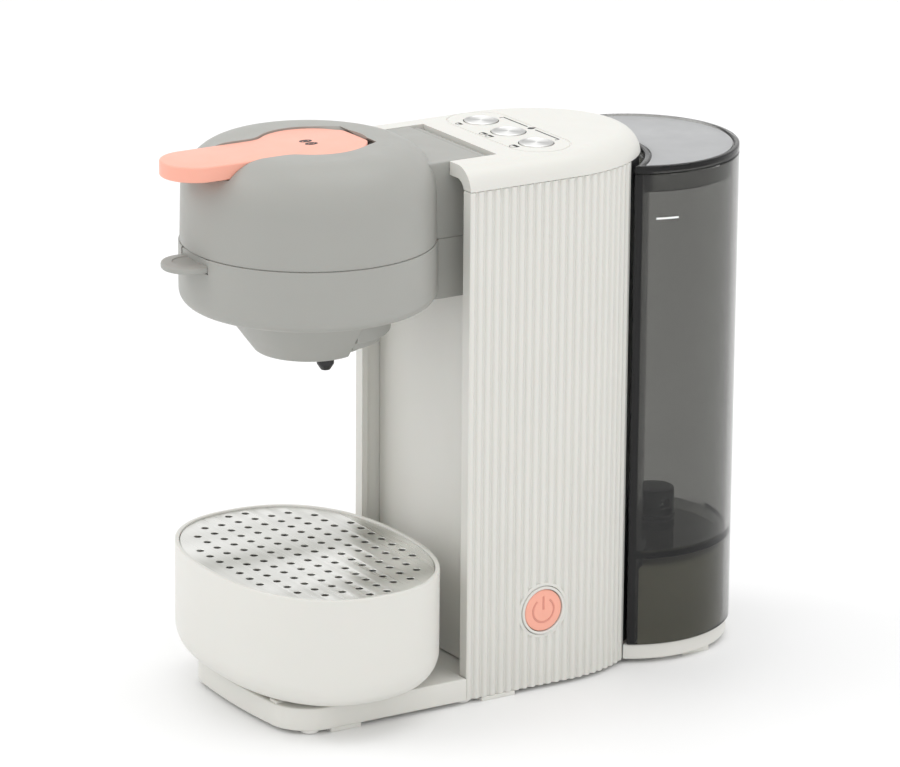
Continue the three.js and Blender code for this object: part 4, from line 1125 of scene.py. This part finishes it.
def build_lever():
    """The plan ends at the pin, where the plate curls over."""
    top = high("lever").z
    plan = slab("lever", lever_line(0), LEVER_BOTTOM, top, 0.9, resolution=4)
    curl_plan = slab("curl_plan", lever_line(-0.05), 250, 270, 0.01)
    curl = across("curl", LEVER_CURL - 0.02, 30, LEVER_PIN_Y, LEVER_PIN_Z)
    curl = boolean(curl, [curl_plan], "INTERSECT")
    bore = across("bore", 1.5, 40, LEVER_PIN_Y, LEVER_PIN_Z)
    lever = cut(join(cut(plan, behind(LEVER_PIN_Y)), curl), bore)
    piece(lever, "lever", "coral_plastic", CORAL, "lever")
    bean_x, bean_width, bean_length = 2.6, 2.1, 3.2
    for side, name in ((-1, "lever_mark_left"), (1, "lever_mark_right")):
        x = side * bean_x
        bean = [(x + bean_width * a, bean_length * b) for a, b in circle(0, 0, 1, 28)]
        crease = stroke([(x + 0.5, -2.2), (x - 0.4, -0.8), (x + 0.4, 0.8), (x - 0.5, 2.2)], 0.5)
        inlay(name, bean, top, [crease], "lever")


def lever_swing():
    """Room for the lever's wide end beside its pin, through its swing."""
    pin = Matrix.Translation((0, LEVER_PIN_Y, LEVER_PIN_Z))
    grow, reach = 0.06, 14
    rooms = []
    for share in (0.25, 0.5, 0.75, 1):
        room = slab("swing", lever_line(grow), LEVER_BOTTOM - grow, high("lever").z + grow, 0.01)
        room = cut(room, ahead(LEVER_PIN_Y - reach), behind(LEVER_PIN_Y))
        turn = Matrix.Rotation(math.radians(-share * LEVER_SWING), 4, "X")
        rooms.append(moved(room, pin @ turn @ pin.inverted()))
    return rooms


def lid_outside(bottom):
    """The dome, its arm over the neck, and the hinge barrel at the arm's end."""
    radius, top = high("lid_shell").x, high("lid_shell").z
    crown, fillet = 36, 22
    dome = [(0, bottom), (radius - 0.4, bottom), (radius, bottom + 0.5)]
    dome += arc(crown, top - fillet, fillet, 0, 90, 20)
    shell = revolve("lid_shell", [*dome, (0, top)], segments=160)
    arm_end = LID_HINGE_Y - KNUCKLE
    arm = neck_bar(30, arm_end, bottom, ARM_TOP, 0.5, 0.8)
    barrel = across("barrel", KNUCKLE, NECK_HALF, LID_HINGE_Y, LID_HINGE_Z, 64)
    web_half = NECK_HALF - 0.1
    web = block("web", -web_half, web_half, arm_end - 1, LID_HINGE_Y, LID_HINGE_Z - KNUCKLE, LID_HINGE_Z + 2)
    return join(shell, arm, barrel, web)


def build_lid():
    bottom = SEAM_Z + 0.03
    inside = high("lid_shell").x - 2.5
    cavity = revolve("cavity", [
        (0, bottom - 2), (inside, bottom - 2), (55.5, 236), (54, 241), (50, 246), (43, 251),
        (30, 253), (0, 253),
    ], segments=128)
    arm_back = LID_HINGE_Y - KNUCKLE - 2.5
    arm_hollow = block(
        "arm_hollow", -NECK_ROOM_HALF, NECK_ROOM_HALF, 40, arm_back, bottom - 2, ARM_TOP - 2.5,
    )
    recess = slab("recess", lever_line(LEVER_ROOM), LEVER_BOTTOM - LEVER_ROOM, 280, 0.01)
    pocket = across("pocket", LEVER_CURL + LEVER_ROOM, 12.4, LEVER_PIN_Y, LEVER_PIN_Z)
    pin_hole = across("pin_hole", 1.35, 16.5, LEVER_PIN_Y, LEVER_PIN_Z, 24)
    hinge_hole = across("hinge_hole", 1.9, 50, LID_HINGE_Y, LID_HINGE_Z, 32)
    shell = cut(
        lid_outside(bottom), cavity, arm_hollow, recess, pocket, *lever_swing(), pin_hole, hinge_hole,
    )
    lug_x, lug_bottom, lug_top = 29.5, LATCH_PIN_Z - 4, 250.5
    front, back = LATCH_PIN_Y - 2.5, LATCH_PIN_Y + 2.5
    lugs = [block("lug", x - 1.5, x + 1.5, front, back, lug_bottom, lug_top, 0.4) for x in (lug_x, -lug_x)]
    shell = cut(join(shell, *lugs), across("lug_hole", 1.3, 31.5, LATCH_PIN_Y, LATCH_PIN_Z, 24))
    piece(shell, "lid", "grey_plastic", GREY, "lid_shell", "lid_arm")


def build_lid_underside():
    liner = turned("lid_liner", [
        (6, 226, 0.3), (36, 226, 0.8), (36, 223, 0.3), (38, 223, 0.6), (38, 229, 1), (34, 231, 2),
        (30, 250, 0.8), (28, 250, 0.5), (31, 229, 2), (6, 229, 0.3),
    ], steps=4)
    piece(liner, "lid", "grey_plastic", GREY, "lid_liner")
    holes = hole_rings(((6, 6), (12, 12), (18, 18), (24, 24)), 0.7)
    plate = circle(0, 0, 28, 96)
    shower = slab("shower_plate", plate, low("shower_plate").z, high("shower_plate").z, 0.4, holes)
    piece(shower, "lid", "steel", STEEL, "shower_plate")
    seal_line = [(30, 219.2, 0.8), (34.5, 219.2, 1.6), (34.5, 225.6, 0.4), (30, 225.6, 0.4)]
    piece(turned("pod_seal", seal_line, steps=5), "lid", "silicone", SILICONE, "pod_seal")


# ---------- drip tray ----------
HOLE_RADIUS, HOLE_PITCH_X, HOLE_PITCH_Y, HOLE_MARGIN = 1.8, 9.2, 9.0, 7.0


def build_tray():
    """Rings up the outside, over the rim and down to the tray's floor."""
    bottom, top, seat = low("drip_tray").z, high("drip_tray").z, low("drip_grille").z - GAP
    fillet, wall, lip, inner_lip = 16.0, 3.0, 0.7, 0.4
    # How far in from the outside: the rim, the ledge under the grille, and the wall below it.
    rim, ledge, throat = 2.0, 5.0, 3.4
    rings = []
    for drawn, rise in quarter(fillet, 14, rising=False):
        rings.append(ring_at(tray_line(drawn + 0.6 * drawn / fillet), bottom + fillet - rise))
    rings += [ring_at(tray_line(a), top - lip + b) for a, b in quarter(lip, 5)]
    for a, b in ((0, 0.4), (0.28, 0.28), (0.4, 0)):
        rings.append(ring_at(tray_line(rim - inner_lip + a), top - inner_lip + b))
    for inset, z in ((rim, seat), (ledge, seat), (ledge, seat - 4), (throat, seat - 8)):
        rings.append(ring_at(tray_line(inset), z))
    inside = fillet - wall
    for drawn, rise in quarter(inside, 10):
        rings.append(ring_at(tray_line(throat + 0.2 + drawn), bottom + wall + inside - rise))
    piece(loft("drip_tray", rings), "drip_tray", "white_plastic", WHITE, "drip_tray")


def build_grille():
    (_, y0, bottom), (_, y1, top) = BOX["drip_grille"]
    middle = (y0 + y1) / 2
    half = high("drip_tray").x - HOLE_MARGIN
    depth = (high("drip_tray").y - low("drip_tray").y) / 2 - HOLE_MARGIN
    holes = []
    for i in range(-7, 8):
        for j in range(-6, 6):
            x, y = i * HOLE_PITCH_X, (j + 0.5) * HOLE_PITCH_Y
            if abs(x / half) ** TRAY_POWER + abs(y / depth) ** TRAY_POWER < 1:
                holes.append(circle(x, middle + y, HOLE_RADIUS, 20))
    plate = slab("drip_grille", tray_line(2.3), bottom, top, 0.22, holes)
    piece(plate, "drip_grille", "steel", GRILLE, "drip_grille")


# ---------- water tank ----------
TANK_WALL, TANK_FLOOR = 2.5, 52.0
LEVEL_Z, LEVEL_HALF_HEIGHT, LEVEL_START, LEVEL_END = 218.0, 0.45, -20.5, -8.0


def tank_rings(*steps):
    """Rings of the tank's plan, from (inset, z) pairs."""
    return [ring_at(tank_line(inset), z) for inset, z in steps]


def build_tank():
    """Down the skirt's inside, up the outside, over the rim and down to the tank's floor."""
    wall, floor = TANK_WALL, TANK_FLOOR
    bottom, top = low("tank_body").z, high("tank_body").z
    tank = loft("tank_body", tank_rings(
        (wall, floor), (wall, bottom + 0.4), (wall - 0.4, bottom),
        (0.4, bottom), (0, bottom + 0.5), (0, floor), (0, floor + wall), (0, top - 0.5),
        (0.4, top), (wall - 0.4, top), (wall, top - 0.5),
        (wall, floor + wall + 1.5), (wall + 1.5, floor + wall),
    ))
    tank = cut(tank, drum("outlet", 6, 40, 60, 0, VALVE_Y))
    piece(tank, "tank", "smoked_tank_plastic", SMOKE, "tank_body")


def build_level_line():
    """A short printed line that follows the tank's round side."""
    radius = TANK_RADIUS + 0.06
    bm = bmesh.new()
    rows = [
        [bm.verts.new((x, y, LEVEL_Z + dz)) for dz in (-LEVEL_HALF_HEIGHT, LEVEL_HALF_HEIGHT)]
        for x, y in arc(0, TANK_Y, radius, LEVEL_START, LEVEL_END, 4)
    ]
    for a, b in zip(rows, rows[1:]):
        bm.faces.new((a[0], b[0], b[1], a[1]))
    bmesh.ops.solidify(bm, geom=bm.faces[:], thickness=0.05)
    piece(mesh_object("level_line", bm), "tank", "white_plastic", MARK)


def build_tank_lid():
    """Down the skirt inside the tank, back up it, out over the tank's rim, up and in to the panel."""
    wall, top, skirt, under = TANK_WALL, high("tank_lid").z, low("tank_lid").z, 239.3
    rim, edge = 2.5, 0.8
    rings = tank_rings(
        (wall + 2.4, under), (wall + 2.4, skirt + 0.3), (wall + 2.1, skirt), (wall + 0.9, skirt),
        (wall + 0.6, skirt + 0.3), (wall + 0.6, under), (0.2, under), (0, under + 0.3),
    )
    rings += tank_rings(*((a, top - edge + b) for a, b in quarter(edge, 4)))
    rings += tank_rings((rim - 0.4, top), (rim, top - 0.4), (rim + 0.2, top - 1))
    piece(loft("tank_lid", rings), "tank_lid", "smoked_tank_plastic", SMOKE, "tank_lid")
    panel = slab("tank_lid_panel", tank_line(rim + 0.7), top - 0.98, top - 0.6, 0.15)
    piece(panel, "tank_lid", "smoked_tank_plastic", FROSTED)


# ---------- tank valve ----------
def build_valve_spring():
    """A coil of even pitch from the spring's lower end to its upper end, on a mesh of its own."""
    turns, per_turn, radius, wire = 4, 24, 4.2, 0.5
    bottom, top = low("tank_valve_spring").z + wire, high("tank_valve_spring").z - wire
    count = turns * per_turn
    points = []
    for i in range(count + 1):
        a = FULL * i / per_turn
        z = bottom + (top - bottom) * i / count
        points.append((radius * math.cos(a), VALVE_Y + radius * math.sin(a), z))
    spring = tube("tank_valve_spring", points, wire)
    piece(spring, "tank", "steel", PIN_STEEL, "tank_valve_spring")
    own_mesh(spring)


def valve_part(name, body, slot, material, line, segments=64, steps=4):
    """A turned part on the valve's axis."""
    return piece(turned(name, line, 0, VALVE_Y, segments, steps), body, slot, material, name)


def build_valve():
    valve_part("tank_valve_body", "tank", "black_plastic", BLACK, [
        (3.9, 51, 0.3), (5.6, 51, 0.3), (5.6, 54.8, 0), (10, 54.8, 0.4), (10, 57.2, 0.4), (3.9, 57.2, 0.3),
    ])
    cage = turned("tank_valve_cage", [
        (7.4, 57.5, 0.2), (9.6, 57.5, 0.2), (9.6, 70, 0.8), (0, 70, 0), (0, 68.4, 0), (7.4, 68.4, 0.4),
    ], 0, VALVE_Y, 64, 4)
    slots = [block("slot", -a, a, VALVE_Y - b, VALVE_Y + b, 61, 66) for a, b in ((12, 2.5), (2.5, 12))]
    piece(cut(cage, *slots), "tank", "black_plastic", BLACK, "tank_valve_cage")
    valve_part("tank_valve_plunger", "valve_plunger", "rubber", RUBBER, [
        (0, 51.6, 0), (2, 51.6, 0.4), (2, 57.6, 0.3), (6, 57.6, 0.6), (6, 59.6, 0.6), (0, 59.6, 0),
    ], 48)
    build_valve_spring()
    valve_part("tank_spigot", "machine", "black_plastic", BLACK, [
        (3.2, 44, 0.2), (4.6, 44, 0.3), (4.6, 48.4, 0), (8, 48.4, 0.3), (8, 50.4, 0.6), (3.2, 50.4, 0.3),
    ])
    valve_part("spigot_seal", "machine", "rubber", RUBBER, [
        (8.4, 48.4, 0.6), (10, 48.4, 0.6), (10, 50.8, 0.6), (8.4, 50.8, 0.6),
    ], steps=5)


# ---------- inner works, kept from the CAD ----------
FINISHES = {
    DARK: ("chassis",),
    BLACK: ("pump", "flow_meter", "power_switch", "latch_bar"),
    ALUMINIUM: ("boiler",),
    BOARD: ("control_board", "key_board"),
    RUBBER: ("pump_mount_low", "pump_mount_high"),
    SILICONE: ("hose_tank_to_meter", "hose_meter_to_pump", "hose_pump_to_boiler", "hose_boiler_to_head"),
    PIN_STEEL: (
        "hinge_bracket", "lid_hinge_pin", "lever_pin", "latch_pin",
        "base_screw_1", "base_screw_2", "base_screw_3", "base_screw_4",
    ),
}
PIN_EDGE, HOUSING_EDGE = 0.0001, 0.0003


def dress_inner_works():
    for material, nodes in FINISHES.items():
        for node in nodes:
            dress(node, material, PIN_EDGE if "pin" in node else HOUSING_EDGE)


# ---------- studio ----------
FLOOR_HALF = 8000
# (name, place, target, size, power), in metres and watts.
LIGHTS = (
    ("key", (-0.9, -1.5, 1.9), (0, 0, 0.12), (1.2, 1.2), 9),
    ("fill", (1.9, -0.6, 0.9), (0, 0, 0.12), (1.0, 1.4), 1.5),
    ("top", (0.2, 0.4, 2.0), (0, 0, 0.2), (1.4, 1.4), 8),
)


def pale_floor():
    roughness = 0.6
    made = Material("floor_pale", linear(246, 246, 246), roughness)
    made.vary_roughness(made.noise(4, 2), roughness * 0.95, roughness)
    return made.data


def area_light(name, place, target, size, power):
    data = bpy.data.lights.new(name, "AREA")
    data.shape = "RECTANGLE"
    data.size, data.size_y = size
    data.energy = power
    lamp = bpy.data.objects.new(name, data)
    lamp.location = place
    lamp.rotation_euler = (Vector(target) - Vector(place)).to_track_quat("-Z", "Y").to_euler()
    scene.collection.objects.link(lamp)


def build_studio():
    bm = bmesh.new()
    bmesh.ops.create_grid(bm, x_segments=1, y_segments=1, size=FLOOR_HALF)
    floor = mesh_object("floor", bm)
    floor.data.transform(Matrix.Diagonal((MM, MM, MM, 1)))
    floor.data.materials.append(pale_floor())
    world = bpy.data.worlds.new("world")
    world.use_nodes = True
    background = world.node_tree.nodes["Background"]
    background.inputs["Color"].default_value = (1, 1, 1, 1)
    background.inputs["Strength"].default_value = 1.0
    scene.world = world
    for light in LIGHTS:
        area_light(*light)
    scene.view_settings.view_transform = "Standard"
    scene.view_settings.look = "None"


build_base()
build_feet()
build_pedestal()
for panel_side in (1, -1):
    build_side_panel(panel_side)
build_front_wall()
build_rear_cover()
build_cap()
build_keys()
build_marks()
build_power()
build_gland()
build_head()
build_pod_holder()
build_shroud()
build_bowl()
build_nozzles()
build_lid()
build_lid_underside()
build_lever()
build_tray()
build_grille()
build_tank()
build_level_line()
build_tank_lid()
build_valve()
dress_inner_works()
build_studio()
